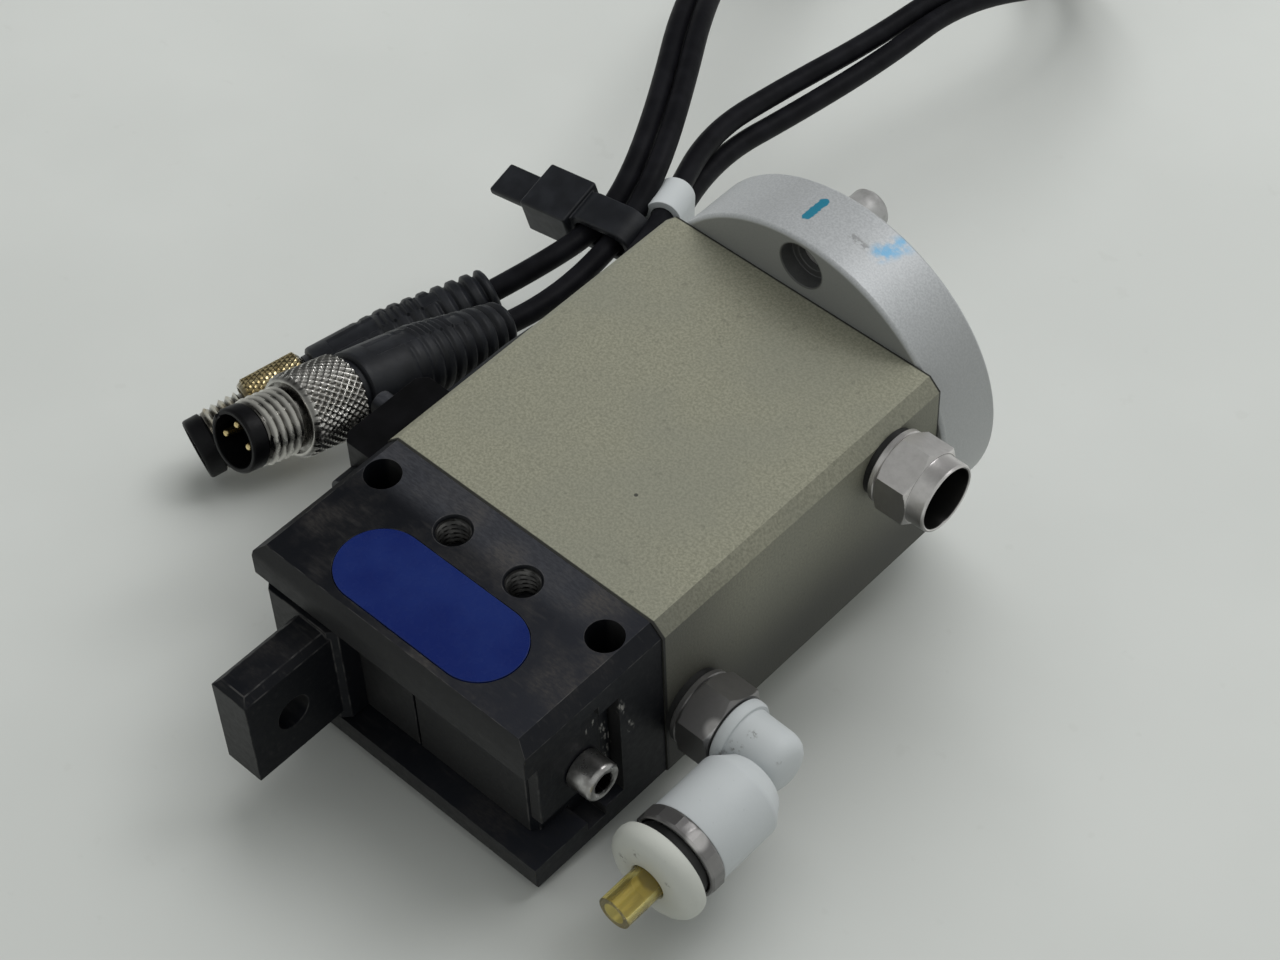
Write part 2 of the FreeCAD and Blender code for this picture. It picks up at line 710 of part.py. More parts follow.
for s in SIGNS:
    holes.append(rod("z", "bolt_r", "-body_h", "body_h", s + "bolt_x", "bolt_y"))
    holes.append(rod("z", "tap_r", "body_h/2-tap_deep", "body_h", s + "tap_x", "tap_y"))
    holes.append(cone("z", "tap_r", "sink_r", "body_h/2-sink_r+tap_r", "body_h/2", s + "tap_x", "tap_y"))
for s, t in CORNERS:
    holes.append(rod("y", "join_r", "slot_rear-over", "y_mid+over", s + "join_x", t + "join_z"))
    holes.append(rod("y", "join_head_r+join_gap", "slot_rear-over", "slot_rear+join_head",
                     s + "join_x", t + "join_z"))
holes.append(flat_oval("label_x", "label_r+label_gap", "label_y", "body_h/2-label_deep", "body_h"))
node("guide_base", cut(blank, *holes))
node("name_plate", flat_oval(
    "label_x", "label_r", "label_y", "body_h/2-label_deep", "body_h/2+label_proud"))
node("base_screws", join(*[
    cap_screw("y", "join_r", "join_head_r", "join_key", "join_end", "slot_rear+join_head", "slot_rear",
              "join_head/2", s + "join_x", t + "join_z") for s, t in CORNERS]))

# Cylinder housing
blank = slab("xz", bevelled("body_w", "body_h", "edge_cut"), "y_mid", "y_rear")
holes = [
    box("-way_w", "way_w", "y_mid-over", "room_y", "-way_h", "way_h"),
    rod("y", "rod_r+rod_gap", "y_mid", "bore_y"),
    rod("y", "bush_r", "bush_a", "bore_y+over"),
    oval("bore_x", "bore_r", "bore_y", "y_rear+over"),
    rod("x", "port_r", "port_in", "side_x+over", "port_fy", "port_fz"),
    rod("x", "port_r", "port_in", "side_x+over", "port_ry", "port_rz"),
    rod("x", "clamp_r", "left_x-over", "clamp_in", "clamp_y", "clamp_z1"),
    rod("x", "clamp_r", "left_x-over", "clamp_in", "clamp_y", "clamp_z2"),
]
for s in SIGNS:
    holes.append(rod("y", "nest_r", "nest_y", "bore_y+over", s + "coil_x", "0"))
for s, t in CORNERS:
    holes.append(rod("y", "join_r", "y_mid-over", "join_end", s + "join_x", t + "join_z"))
    holes.append(rod("y", "fix_r", "fix_end", "y_rear+over", s + "fix_x", t + "fix_z"))
node("cylinder_housing", cut(blank, *holes))
node("rod_bush", cut(
    rod("y", "bush_r", "bush_a", "bush_b"), rod("y", "bush_in", "bush_a-over", "bush_b+over")))
ring = doc.addObject("Part::Torus", "ring")
bind(ring, "Radius1", "bush_in+ring_r")
bind(ring, "Radius2", "ring_r")
seat(ring, "0", "ring_y", "0", TURN["y"])
node("rod_seal", ring)
node("cylinder_cover", cut(
    oval("bore_x", "bore_r", "cover_y", "y_rear"),
    cut(oval("bore_x", "bore_r+over", "cover_seal_a", "cover_seal_b"),
        oval("bore_x", "cover_seal_r", "cover_seal_a-over", "cover_seal_b+over"))))
node("cover_seal", cut(
    oval("bore_x", "bore_r", "cover_seal_a", "cover_seal_b"),
    oval("bore_x", "cover_seal_r", "cover_seal_a-over", "cover_seal_b+over")))

# Mounting disc
rim = [
    ("0", "-disc_t"), ("disc_r-disc_cut", "-disc_t"), ("disc_r", "-disc_t+disc_cut"),
    ("disc_r", "-disc_cut"), ("disc_r-disc_cut", "0"), ("0", "0"),
]
blank = spun(rim)
blank.Placement.Rotation = TURN["y"]
holes = [
    rod("y", "dowel_shank", "-disc_t-over", "over", "0", "dowel_z"),
    rod("y", "mouth_r", "-disc_t-over", "mouth_y", "0", "dowel_z"),
]
for s in SIGNS:
    holes.append(rod("y", "mount_r", "-mount_deep", "over", s + "mount_x", "0"))
for s, t in CORNERS:
    holes.append(rod("y", "fix_r", "-disc_t-over", "over", s + "fix_x", t + "fix_z"))
    holes.append(rod("y", "fix_head_r+fix_gap", "-fix_sink", "over", s + "fix_x", t + "fix_z"))
node("mounting_disc", cut(blank, *holes))
node("disc_screws", join(*[
    cap_screw("y", "fix_r", "fix_head_r", "key_r", "fix_end", "-fix_sink", "-fix_sink+fix_head", "key_deep",
              s + "fix_x", t + "fix_z") for s, t in CORNERS]))
node("locating_pin", join(
    rod("y", "dowel_shank", "-dowel_in", "0", "0", "dowel_z"),
    rod("y", "dowel_r", "0", "dowel_out-dowel_cut", "0", "dowel_z"),
    cone("y", "dowel_r", "dowel_r-dowel_cut", "dowel_out-dowel_cut", "dowel_out", "0", "dowel_z")))


def jaw(s):
    """One base jaw; s is empty for the right one and a minus sign for the left one."""
    def span(a, b):
        return (a, b) if s == "" else ("-(%s)" % b, "-(%s)" % a)

    lo, hi = span("jaw_in", "jaw_out")
    plan = [
        (s + "jaw_in", "jaw_rear"), (s + "jaw_in", "jaw_front"),
        (s + "jaw_out%sjaw_cut" % ("-" if s == "" else "+"), "jaw_front"),
        (s + "jaw_out", "jaw_front+jaw_cut"), (s + "jaw_out", "jaw_rear"),
    ]
    block = slab("xy", plan, "-jaw_h", "jaw_h")
    ridge = box(lo, hi, "ridge_a", "ridge_b", "-ridge_h", "ridge_h")
    flo, fhi = span("cam_x-fork_in", "cam_x+fork_out")
    fork = box(flo, fhi, "jaw_rear-over", "fork_rear", "-fork_h", "fork_h")
    blo, bhi = span("jaw_in-over", "bay_w")
    elo, ehi = span("end_in", "jaw_out+over")
    return cut(
        join(block, ridge, fork),
        box(blo, bhi, "bay_y", "fork_rear+over", "-bay_h", "bay_h"),
        rod("z", "cam_r", "-fork_h-over", "fork_h+over", s + "cam_x", "cam_y"),
        rod("x", "end_r", elo, ehi, "end_y", "0"),
    )


def end_screw(s):
    return cap_screw("x", "end_r", "head_r", "key_r", s + "end_tip", s + "plate_out", s + "head_out",
                     "key_deep", "end_y", "0")


node("right_jaw", jaw(""))
node("left_jaw", jaw("-"))
node("right_screw", end_screw(""))
node("left_screw", end_screw("-"))
node("right_cam_pin", rod("z", "cam_r", "-fork_h", "fork_h", "cam_x", "cam_y"))
node("left_cam_pin", rod("z", "cam_r", "-fork_h", "fork_h", "-cam_x", "cam_y"))
node("right_plate", cut(
    box("jaw_out", "plate_out", "plate_front", "plate_rear", "-plate_low", "plate_high"),
    rod("x", "end_r", "jaw_out-over", "plate_out+over", "end_y", "0")))

# Finger on the left jaw
foot = [
    ("-plate_out", "jaw_front"), ("-plate_out", "foot_front+foot_cut"), ("-plate_out+foot_cut", "foot_front"),
    ("-foot_in-foot_cut", "foot_front"), ("-foot_in", "foot_front+foot_cut"), ("-foot_in", "jaw_front"),
]
bar = [
    ("-tongue_out+tongue_cut", "-tongue_h"), ("-tongue_in-tongue_cut", "-tongue_h"),
    ("-tongue_in", "-tongue_h+tongue_cut"), ("-tongue_in", "tongue_h-tongue_cut"),
    ("-tongue_in-tongue_cut", "tongue_h"), ("-tongue_out+tongue_cut", "tongue_h"),
    ("-tongue_out", "tongue_h-tongue_cut"), ("-tongue_out", "-tongue_h+tongue_cut"),
]
tip = [
    ("jaw_front", "-tongue_h"), ("jaw_front", "tongue_h"), ("tongue_front+tongue_cut", "tongue_h"),
    ("tongue_front", "tongue_h-tongue_cut"), ("tongue_front", "-tongue_h+tongue_cut"),
    ("tongue_front+tongue_cut", "-tongue_h"),
]
tongue = both(
    slab("xz", bar, "tongue_front", "foot_front+foot_cut"),
    slab("yz", tip, "-tongue_out", "-tongue_in"))
node("left_finger", cut(
    join(slab("xy", foot, "-foot_h", "foot_h"), tongue,
         box("-plate_out", "-jaw_out", "jaw_front-foot_cut", "plate_rear", "-plate_low", "plate_high")),
    rod("x", "eye_r", "-tongue_out-over", "-tongue_in+over", "eye_y", "0"),
    rod("x", "end_r", "-plate_out-over", "-jaw_out+over", "end_y", "0")))

# Piston, rod and wedge
holes = [
    rod("y", "stud_r", "piston_a-over", "piston_b+over"),
    rod("y", "stud_head_r", "stud_head_y", "piston_b+over"),
    rod("y", "magnet_r", "magnet_y", "piston_b+over", "-magnet_x", "0"),
    cut(oval("bore_x", "bore_r+over", "gland_a", "gland_b"),
        oval("bore_x", "gland_r", "gland_a-over", "gland_b+over")),
]
for s in SIGNS:
    holes.append(rod("y", "nest_r", "piston_a-over", "cup_y", s + "coil_x", "0"))
node("piston", cut(oval("bore_x", "piston_r", "piston_a", "piston_b"), *holes))
node("piston_seal", cut(
    oval("bore_x", "lip_r", "gland_a", "gland_b"), oval("bore_x", "gland_r", "gland_a-over", "gland_b+over")))
node("piston_magnet", rod("y", "magnet_r", "magnet_y", "piston_b", "-magnet_x", "0"))
node("piston_screw", cap_screw("y", "stud_r", "stud_head_r", "stud_key", "stud_a", "stud_head_y", "piston_b",
                               "key_deep", "0", "0"))
node("piston_rod", cut(rod("y", "rod_r", "rod_a", "piston_a"), rod("y", "stud_r", "stud_a", "piston_a+over")))
plan = [
    ("-wedge_w1", "wedge_a"), ("wedge_w1", "wedge_a"), ("wedge_w2", "wedge_b"), ("wedge_w2", "wedge_c"),
    ("-wedge_w2", "wedge_c"), ("-wedge_w2", "wedge_b"),
]
tracks = []
for s in SIGNS:
    o = "-" if s == "" else "+"
    p = "+" if s == "" else "-"
    near = ("%scam_x%strack_x" % (s, o), "cam_y-track_over")
    far = ("%scam_x%sjaw_stroke%strack_x" % (s, p, p), "cam_y+piston_stroke+track_over")
    plan_track = [
        (near[0] + p + "track_u", near[1] + "-track_v"), (far[0] + p + "track_u", far[1] + "-track_v"),
        (far[0] + o + "track_u", far[1] + "+track_v"), (near[0] + o + "track_u", near[1] + "+track_v"),
    ]
    tracks.append(slab("xy", plan_track, "-wedge_h-over", "wedge_h+over"))
    tracks.append(rod("z", "track_r", "-wedge_h-over", "wedge_h+over", near[0], near[1]))
    tracks.append(rod("z", "track_r", "-wedge_h-over", "wedge_h+over", far[0], far[1]))
node("wedge", cut(
    join(slab("xy", plan, "-wedge_h", "wedge_h"), rod("y", "rod_r", "hub_y", "rod_a")), *tracks))


def spring(name, s):
    """Closing spring; a coil has no primitive that carries its wire, so it is a swept shape."""
    pitch = num("coil_len/coil_turns")
    helix = Part.makeHelix(pitch, num("coil_len"), num("coil_r"))
    wire = Part.Wire(helix.Edges)
    start = wire.Edges[0].valueAt(wire.Edges[0].FirstParameter)
    lead = wire.Edges[0].tangentAt(wire.Edges[0].FirstParameter)
    ring_edge = Part.makeCircle(num("wire_r"), start, lead)
    shape = wire.makePipeShell([Part.Wire([ring_edge])], True, True)
    obj = doc.addObject("Part::Feature", name)
    obj.Shape = shape
    seat(obj, s + "coil_x", "nest_y+wire_r", "0", TURN["y"])
    node(name, obj)


spring("right_spring", "")
spring("left_spring", "-")

# Air fittings
for name, y, z in (("front", "port_fy", "port_fz"), ("rear", "port_ry", "port_rz")):
    node(name + "_gasket", cut(
        rod("x", "pad_r", "side_x", "side_x+pad_t", y, z),
        rod("x", "port_r", "side_x-over", "side_x+pad_t+over", y, z)))
    shank = rod("x", "port_r", "port_in", "side_x+pad_t", y, z)
    head = join(
        rod("x", "washer_r", "side_x+pad_t", "washer_x", y, z),
        hexagon("x", "hex_r", "washer_x-washer_t/2", "nut_x", y, z))
    if name == "front":
        node("front_fitting", cut(
            join(shank, head, rod("x", "stem_r", "nut_x-over", "stem_x", y, z)),
            rod("x", "vent_r", "port_in-over", "stem_x+over", y, z)))
    else:
        node("rear_fitting", cut(
            join(shank, head, rod("x", "cup_r", "nut_x-over", "cup_x", y, z)),
            rod("x", "socket_r", "socket_x", "cup_x+over", y, z),
            rod("x", "vent_r", "port_in-over", "socket_x+over", y, z)))

# Elbow with its clamp ring, tube and release collar
shell = join(
    rod("x", "neck_r", "neck_x", "neck_out", "port_fy", "port_fz"),
    rod("x", "brim_r", "neck_x", "neck_x+brim_t", "port_fy", "port_fz"),
    rod("y", "barrel_r", "barrel_front", "barrel_rear", "bend_x", "port_fz"),
    cone("y", "barrel_r", "waist_r", "barrel_rear", "waist_y", "bend_x", "port_fz"))
node("elbow", cut(
    shell,
    rod("x", "neck_bore", "neck_x-over", "stem_x+stem_gap", "port_fy", "port_fz"),
    rod("y", "tube_r", "barrel_front-over", "port_fy", "bend_x", "port_fz"),
    rod("y", "grip_bore", "barrel_front-over", "grip_y", "bend_x", "port_fz")))
node("clamp_ring", cut(
    rod("y", "band_r", "band_front", "barrel_front", "bend_x", "port_fz"),
    rod("y", "grip_bore", "band_front-over", "barrel_front+over", "bend_x", "port_fz")))
node("tube_stub", cut(
    rod("y", "tube_r", "tube_front", "tube_rear", "bend_x", "port_fz"),
    rod("y", "tube_in", "tube_front-over", "tube_rear+over", "bend_x", "port_fz")))
node("release_collar", cut(
    join(cone("y", "collar_r-collar_cut", "collar_r", "collar_a", "collar_a+collar_cut", "bend_x", "port_fz"),
         rod("y", "collar_r", "collar_a+collar_cut", "collar_b", "bend_x", "port_fz"),
         rod("y", "sleeve_r", "collar_b", "sleeve_y", "bend_x", "port_fz")),
    rod("y", "tube_r+tube_gap", "collar_a-over", "sleeve_y+over", "bend_x", "port_fz")))

# Sensors on the left side
frame_plan = [
    ("left_x", "bracket_a"), ("left_x", "bracket_b"), ("bracket_x+bracket_cut", "bracket_b"),
    ("bracket_x", "bracket_b-bracket_cut"), ("bracket_x", "bracket_a+bracket_cut"),
    ("bracket_x+bracket_cut", "bracket_a"),
]
node("sensor_bracket", cut(
    slab("xy", frame_plan, "-bracket_low", "bracket_high"),
    rod("y", "probe_r", "bracket_a-over", "bracket_b+over", "probe_x", "probe_z1"),
    rod("y", "probe_r", "bracket_a-over", "bracket_b+over", "probe_x", "probe_z2"),
    rod("x", "clamp_r", "bracket_x-over", "left_x+over", "clamp_y", "clamp_z1"),
    rod("x", "clamp_r", "bracket_x-over", "left_x+over", "clamp_y", "clamp_z2")))
node("bracket_screws", join(*[
    cap_screw("x", "clamp_r", "clamp_head_r", "clamp_key", "clamp_in", "bracket_x", "bracket_x-clamp_head",
              "clamp_head/2", "clamp_y", z) for z in ("clamp_z1", "clamp_z2")]))
for name, z in (("upper_sensor", "probe_z1"), ("lower_sensor", "probe_z2")):
    node(name, join(
        rod("y", "probe_r", "probe_a", "probe_b", "probe_x", z),
        cone("y", "probe_r", "tail_r", "probe_b", "probe_tail", "probe_x", z)))


def corner(aliases_xyz):
    return Vector(num(aliases_xyz[0]), num(aliases_xyz[1]), num(aliases_xyz[2]))


# Share of the shorter run that an arc takes
ROUNDING = 0.45


def cord(name, cable):
    """Round cable: straight runs joined by tangent arcs. Gives back the middle and lead of every arc."""
    spots = [corner(c) for c in runs[cable]]
    edges = []
    arcs = {}
    start = spots[0]
    for k in range(1, len(spots) - 1):
        back = spots[k - 1] - spots[k]
        ahead = spots[k + 1] - spots[k]
        reach = ROUNDING * min(back.Length, ahead.Length)
        back.normalize()
        ahead.normalize()
        a = spots[k] + back * reach
        b = spots[k] + ahead * reach
        turn = math.pi - back.getAngle(ahead)
        radius = reach / math.tan(turn / 2)
        inward = back + ahead
        inward.normalize()
        middle = spots[k] + inward * (math.hypot(radius, reach) - radius)
        edges.append(Part.LineSegment(start, a).toShape())
        edges.append(Part.Arc(a, middle, b).toShape())
        lead = b - a
        lead.normalize()
        arcs[k] = (middle, lead)
        print("%s corner %d: radius %.1f turn %.0f" % (name, k, radius, math.degrees(turn)))
        start = b
    edges.append(Part.LineSegment(start, spots[-1]).toShape())
    path = Part.Wire(edges)
    first = spots[1] - spots[0]
    ring_edge = Part.makeCircle(num("cable_r"), spots[0], first)
    shape = path.makePipeShell([Part.Wire([ring_edge])], True, False)
    ideal = math.pi * num("cable_r") ** 2 * path.Length
    print("%s length %.1f, volume %.1f against %.1f" % (name, path.Length, abs(shape.Volume), ideal))
    obj = doc.addObject("Part::Feature", name)
    obj.Shape = shape
    node(name, obj)
    return spots, arcs


lower_spots, lower_arcs = cord("lower_cable", "lower")
upper_spots, upper_arcs = cord("upper_cable", "upper")


def across(obj, first, second):
    """Seats a shape made on +Z across a pair of arcs, its +X towards the first one."""
    lead = first[1] + second[1]
    lead.normalize()
    side = first[0] - second[0]
    obj.Placement = FreeCAD.Placement(
        (first[0] + second[0]) * 0.5, Rotation(side, lead.cross(side), lead, "ZXY"))
    return obj


def upright_oval(half, radius, a, b):
    """An oval bar on +Z with its long way along X."""
    return join(
        box("-" + half, half, "-(%s)" % radius, radius, a, b),
        rod("z", radius, a, b, half, "0"),
        rod("z", radius, a, b, "-" + half, "0"),
    )


sleeve = cut(
    upright_oval("white_half", "white_r", "-white_len/2", "white_len/2"),
    rod("z", "white_bore", "-white_len", "white_len", "white_half", "0"),
    rod("z", "white_bore", "-white_len", "white_len", "-white_half", "0"))
node("cable_sleeve", across(sleeve, upper_arcs[upper_sleeved], lower_arcs[lower_sleeved]))
tie = cut(
    join(upright_oval("tie_half", "tie_ring+tie_t", "-tie_w/2", "tie_w/2"),
         box("tie_a", "tie_b", "-tie_hh", "tie_hh", "-tie_hw", "tie_hw"),
         box("tie_b-over", "tie_tail", "-tie_t/2", "tie_t/2", "-tie_w/2", "tie_w/2")),
    upright_oval("tie_half", "tie_ring", "-tie_w", "tie_w"))
node("cable_tie", across(tie, lower_arcs[lower_tied], upper_arcs[upper_tied]))

# Plugs, made on +Z from the cable end to the contacts
grip = [
    ("0", "0"), ("cap_r", "0"), ("grip_r", "cap_len"),
    ("grip_r", "grip_len"), ("flange_r", "grip_len"), ("flange_r", "flange_end"), ("core_r", "flange_end"),
    ("core_r", "face_a"), ("face_r", "face_a"), ("face_r", "plug_len"), ("core_in", "plug_len"),
    ("core_in", "core_deep"), ("0", "core_deep"),
]
nut = [
    ("nut_bore", "knurl_a"), ("knurl_r", "knurl_a"), ("knurl_r", "knurl_b"), ("screw_r", "knurl_b"),
    ("screw_r", "screw_end"), ("nut_bore", "screw_end"),
]
PIN_SPOTS = (
    ("pin_circle", "0"),
    ("-pin_circle/2", "pin_circle*sqrt(3)/2"),
    ("-pin_circle/2", "-pin_circle*sqrt(3)/2"),
)
for name, root in (("near", upper_spots[-1]), ("far", lower_spots[-1])):
    front = corner([name + "_fx", name + "_fy", name + "_fz"])
    place = FreeCAD.Placement(root, Rotation(Vector(0, 0, 1), front - root))
    print(name, "plug axis", front - root, (front - root).Length)
    for part_name, obj in (
        (name + "_plug", spun(grip)),
        (name + "_nut", spun(nut)),
        (name + "_pins", join(*[rod("z", "pin_r", "core_deep", "pin_tip", u, v) for u, v in PIN_SPOTS])),
    ):
        obj.Placement = place
        node(part_name, obj)
doc.recompute()

os.makedirs("parts", exist_ok=True)
for name, obj in nodes:
    shape = obj.Shape
    if shape.isNull() or not shape.isValid():
        print("BAD", name)
    shape.exportStep("parts/%s.step" % name)
for obj in doc.Objects:
    if "Invalid" in obj.State or "Error" in obj.State:
        print("STATE", obj.Name, obj.State)
print(len(nodes), "nodes")
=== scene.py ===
import json
import math

import bmesh
import bpy
from mathutils import Matrix, Vector


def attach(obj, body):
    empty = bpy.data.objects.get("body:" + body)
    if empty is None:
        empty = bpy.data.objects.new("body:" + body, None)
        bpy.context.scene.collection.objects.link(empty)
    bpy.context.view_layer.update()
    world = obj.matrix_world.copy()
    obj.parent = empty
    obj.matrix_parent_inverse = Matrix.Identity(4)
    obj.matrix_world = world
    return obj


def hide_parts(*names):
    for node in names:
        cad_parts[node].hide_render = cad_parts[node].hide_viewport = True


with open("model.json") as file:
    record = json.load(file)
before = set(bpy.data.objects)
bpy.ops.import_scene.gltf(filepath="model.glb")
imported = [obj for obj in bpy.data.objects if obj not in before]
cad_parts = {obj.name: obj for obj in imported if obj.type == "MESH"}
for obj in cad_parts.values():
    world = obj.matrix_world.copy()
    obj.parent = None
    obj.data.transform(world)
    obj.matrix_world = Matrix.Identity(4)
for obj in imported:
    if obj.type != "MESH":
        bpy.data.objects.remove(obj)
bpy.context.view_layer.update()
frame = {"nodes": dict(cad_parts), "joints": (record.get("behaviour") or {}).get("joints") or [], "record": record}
nodes = frame["nodes"]
record = frame["record"]
scene = bpy.context.scene
MM = 0.001
TAU = 2 * math.pi
body_of = {node: body for body, members in record["behaviour"]["bodies"].items() for node in members}
slot_of = {part["node"]: part["material_slot"] for part in record["subparts"]}
joints = {joint["name"]: joint for joint in frame["joints"]}


# Camera, as the photograph was taken
EYE = Vector((138.5, -175.14, 240.43)) * MM
LOOK = Vector((-0.45136, 0.45493, -0.76767))
RIGHT = Vector((0.73426, 0.67822, -0.0298))
FOCAL_PX = 2820.0
PHOTO_WIDE_PX = 1280.0
SENSOR_MM = 36.0
NEAREST_M = 0.01
FARTHEST_M = 10.0


def set_camera():
    data = bpy.data.cameras.new("camera")
    data.sensor_fit = "HORIZONTAL"
    data.sensor_width = SENSOR_MM
    data.lens = FOCAL_PX / PHOTO_WIDE_PX * SENSOR_MM
    data.clip_start = NEAREST_M
    data.clip_end = FARTHEST_M
    camera = bpy.data.objects.new("camera", data)
    scene.collection.objects.link(camera)
    up = RIGHT.cross(LOOK)
    turn = Matrix((RIGHT, up, -LOOK)).transposed().to_4x4()
    camera.matrix_world = Matrix.Translation(EYE) @ turn
    scene.camera = camera


set_camera()
scene.view_settings.view_transform = "Standard"


class Value:
    """A shader socket; Python operators on it add Math nodes."""

    def __init__(self, tree, socket):
        self.tree = tree
        self.socket = socket

    def math(self, operation, other, swapped=False):
        first, second = (other, self) if swapped else (self, other)
        return self.tree.add("ShaderNodeMath", {"operation": operation}, {0: first, 1: second})

    def __add__(self, other):
        return self.math("ADD", other)

    def __sub__(self, other):
        return self.math("SUBTRACT", other)

    def __mul__(self, other):
        return self.math("MULTIPLY", other)

    def __radd__(self, other):
        return self.math("ADD", other, True)

    def __rsub__(self, other):
        return self.math("SUBTRACT", other, True)

    def __rmul__(self, other):
        return self.math("MULTIPLY", other, True)

    def most(self, other):
        return self.math("MAXIMUM", other)

    def step(self, low, high):
        """0 at low, 1 at high, smooth between; high may be the smaller one."""
        if low > high:
            return 1 - self.step(high, low)
        return self.tree.add(
            "ShaderNodeMapRange", {"interpolation_type": "SMOOTHSTEP"},
            {"Value": self, "From Min": low, "From Max": high})


class Tree:
    """A node tree, emptied; add makes every node in it."""

    def __init__(self, owner):
        owner.use_nodes = True
        self.nodes = owner.node_tree.nodes
        self.links = owner.node_tree.links
        self.nodes.clear()

    def add(self, kind, settings, sockets, out=0):
        node = self.nodes.new(kind)
        for key, value in settings.items():
            setattr(node, key, value)
        for key, value in sockets.items():
            if isinstance(value, Value):
                self.links.new(value.socket, node.inputs[key])
            else:
                node.inputs[key].default_value = value
        return Value(self, node.outputs[out]) if node.outputs else None


class Finish(Tree):
    """One material and the nodes that it is made of. Places are in millimetres."""

    def __init__(self, name):
        self.material = bpy.data.materials.new(name)
        super().__init__(self.material)
        metres = self.add("ShaderNodeTexCoord", {}, {}, "Object")
        self.place = self.vector("SCALE", metres, scale=1 / MM)

    def vector(self, operation, first, second=None, scale=None, out=0):
        sockets = {0: first}
        if second is not None:
            sockets[1] = second
        if scale is not None:
            sockets["Scale"] = scale
        return self.add("ShaderNodeVectorMath", {"operation": operation}, sockets, out)

    def noise(self, per_mm, detail=2.0, stretch=(1, 1, 1), rough=0.5):
        """Cloudy noise, about per_mm lumps to a millimetre."""
        at = self.vector("MULTIPLY", self.place, stretch)
        return self.add("ShaderNodeTexNoise", {}, {
            "Vector": at, "Scale": per_mm, "Detail": detail, "Roughness": rough})

    def axis(self, name):
        return self.add("ShaderNodeSeparateXYZ", {}, {0: self.place}, name)

    def facing(self, name):
        normal = self.add("ShaderNodeTexCoord", {}, {}, "Normal")
        return self.add("ShaderNodeSeparateXYZ", {}, {0: normal}, name)

    def far(self, spot):
        """Distance from a spot."""
        return self.vector("DISTANCE", self.place, spot, out="Value")

    def stroke(self, start, end):
        """Distance from a straight stroke between two spots."""
        run = Vector(end) - Vector(start)
        off = self.vector("SUBTRACT", self.place, start)
        share = self.vector("DOT_PRODUCT", off, run / run.length_squared, out="Value")
        share = self.add("ShaderNodeClamp", {}, {"Value": share})
        return self.vector("DISTANCE", off, self.vector("SCALE", run, scale=share), out="Value")

    def worn(self):
        """1 on the broken edges of a machined piece."""
        return self.add("ShaderNodeAttribute", {"attribute_name": "worn"}, {}, "Fac")

    def mix(self, amount, first, second):
        """Colour between two others."""
        sockets = {0: amount, 6: paint(first), 7: paint(second)}
        return self.add("ShaderNodeMix", {"data_type": "RGBA"}, sockets, 2)

    def surface(self, base, rough, height=None, depth_mm=0.01, **fixed):
        sockets = {"Base Color": paint(base), "Roughness": rough}
        if height is not None:
            bump = {"Distance": depth_mm * MM, "Height": height}
            sockets["Normal"] = self.add("ShaderNodeBump", {}, bump)
        for name, value in fixed.items():
            sockets[name.replace("_", " ")] = value
        return self.show(self.add("ShaderNodeBsdfPrincipled", {}, sockets))

    def show(self, shader):
        self.add("ShaderNodeOutputMaterial", {}, {"Surface": shader})
        return self.material


def paint(colour):
    """A colour for a socket; a link passes through."""
    return colour if isinstance(colour, Value) else (*colour, 1.0)


# Places of the solids that finishes and pieces share, in millimetres
TOP = 13.2
HOUSING_FRONT = -53.5
HOUSING_REAR = -9.0
FRONT_PORT_Y = -49.5
FRONT_PORT_Z = -3.0
REAR_PORT_Y = -17.8
REAR_PORT_Z = 8.0
END_SCREW_Y = -64.7

# Olive anodising: its tones, a speck on the top, and where painted shade on the +X side starts and is full,
# towards the bottom and towards the front
OLIVE_DARK = (0.226, 0.223, 0.167)
OLIVE_LIGHT = (0.336, 0.33, 0.254)
OLIVE_CLOUD = (0.235, 0.24, 0.2)
OLIVE_PIT = (0.13, 0.128, 0.1)
OLIVE_WORN = (0.38, 0.37, 0.31)
SOOT_AND_SIDE_SHADE = (0.03, 0.03, 0.029)
JOINT_DIRT_AND_SHADE = (0.009, 0.009, 0.009)
SPECK = (5.97, -42.26, TOP)
SPECK_R = 0.28
SIDE_SHADE_LOW_FROM = 9.0
SIDE_SHADE_LOW_FULL = -9.0
SIDE_SHADE_FRONT_FROM = -38.0
SIDE_SHADE_FRONT_FULL = -51.0


def olive_anodising():
    f = Finish("olive_anodising")
    along = f.axis("Y")
    grain = f.noise(3.4, 3.0, rough=0.6)
    base = f.mix(grain.step(0.3, 0.7), OLIVE_DARK, OLIVE_LIGHT)
    base = f.mix(f.noise(0.07, 3.0).step(0.4, 0.7) * 0.35, base, OLIVE_CLOUD)
    base = f.mix(f.noise(1.1, 1.0).step(0.7, 0.76) * 0.3, base, OLIVE_PIT)
    base = f.mix(f.far(SPECK).step(SPECK_R, SPECK_R - 0.1) * 0.8, base, SOOT_AND_SIDE_SHADE)
    # Painted shade: faces towards +X are darkened, more towards the bottom and towards the front
    side = f.facing("X").step(0.5, 0.9)
    base = f.mix(side * (0.3 + f.axis("Z").step(SIDE_SHADE_LOW_FROM, SIDE_SHADE_LOW_FULL) * 0.6), base, SOOT_AND_SIDE_SHADE)
    base = f.mix(side * along.step(SIDE_SHADE_FRONT_FROM, SIDE_SHADE_FRONT_FULL) * 0.6, base, SOOT_AND_SIDE_SHADE)
    edge = f.worn() * f.noise(0.8, 3.0).step(0.35, 0.6)
    base = f.mix(edge * 0.35, base, OLIVE_WORN)
    # Dirt and painted shade: dark lines where the housing meets the base and the disc
    front_joint = along.step(HOUSING_FRONT + 0.42, HOUSING_FRONT + 0.26)
    rear_joint = along.step(HOUSING_REAR - 0.3, HOUSING_REAR - 0.16)
    base = f.mix(front_joint.most(rear_joint) * 0.93, base, JOINT_DIRT_AND_SHADE)
    return f.surface(base, grain * 0.2 + 0.5, grain, 0.035, Metallic=0.2)


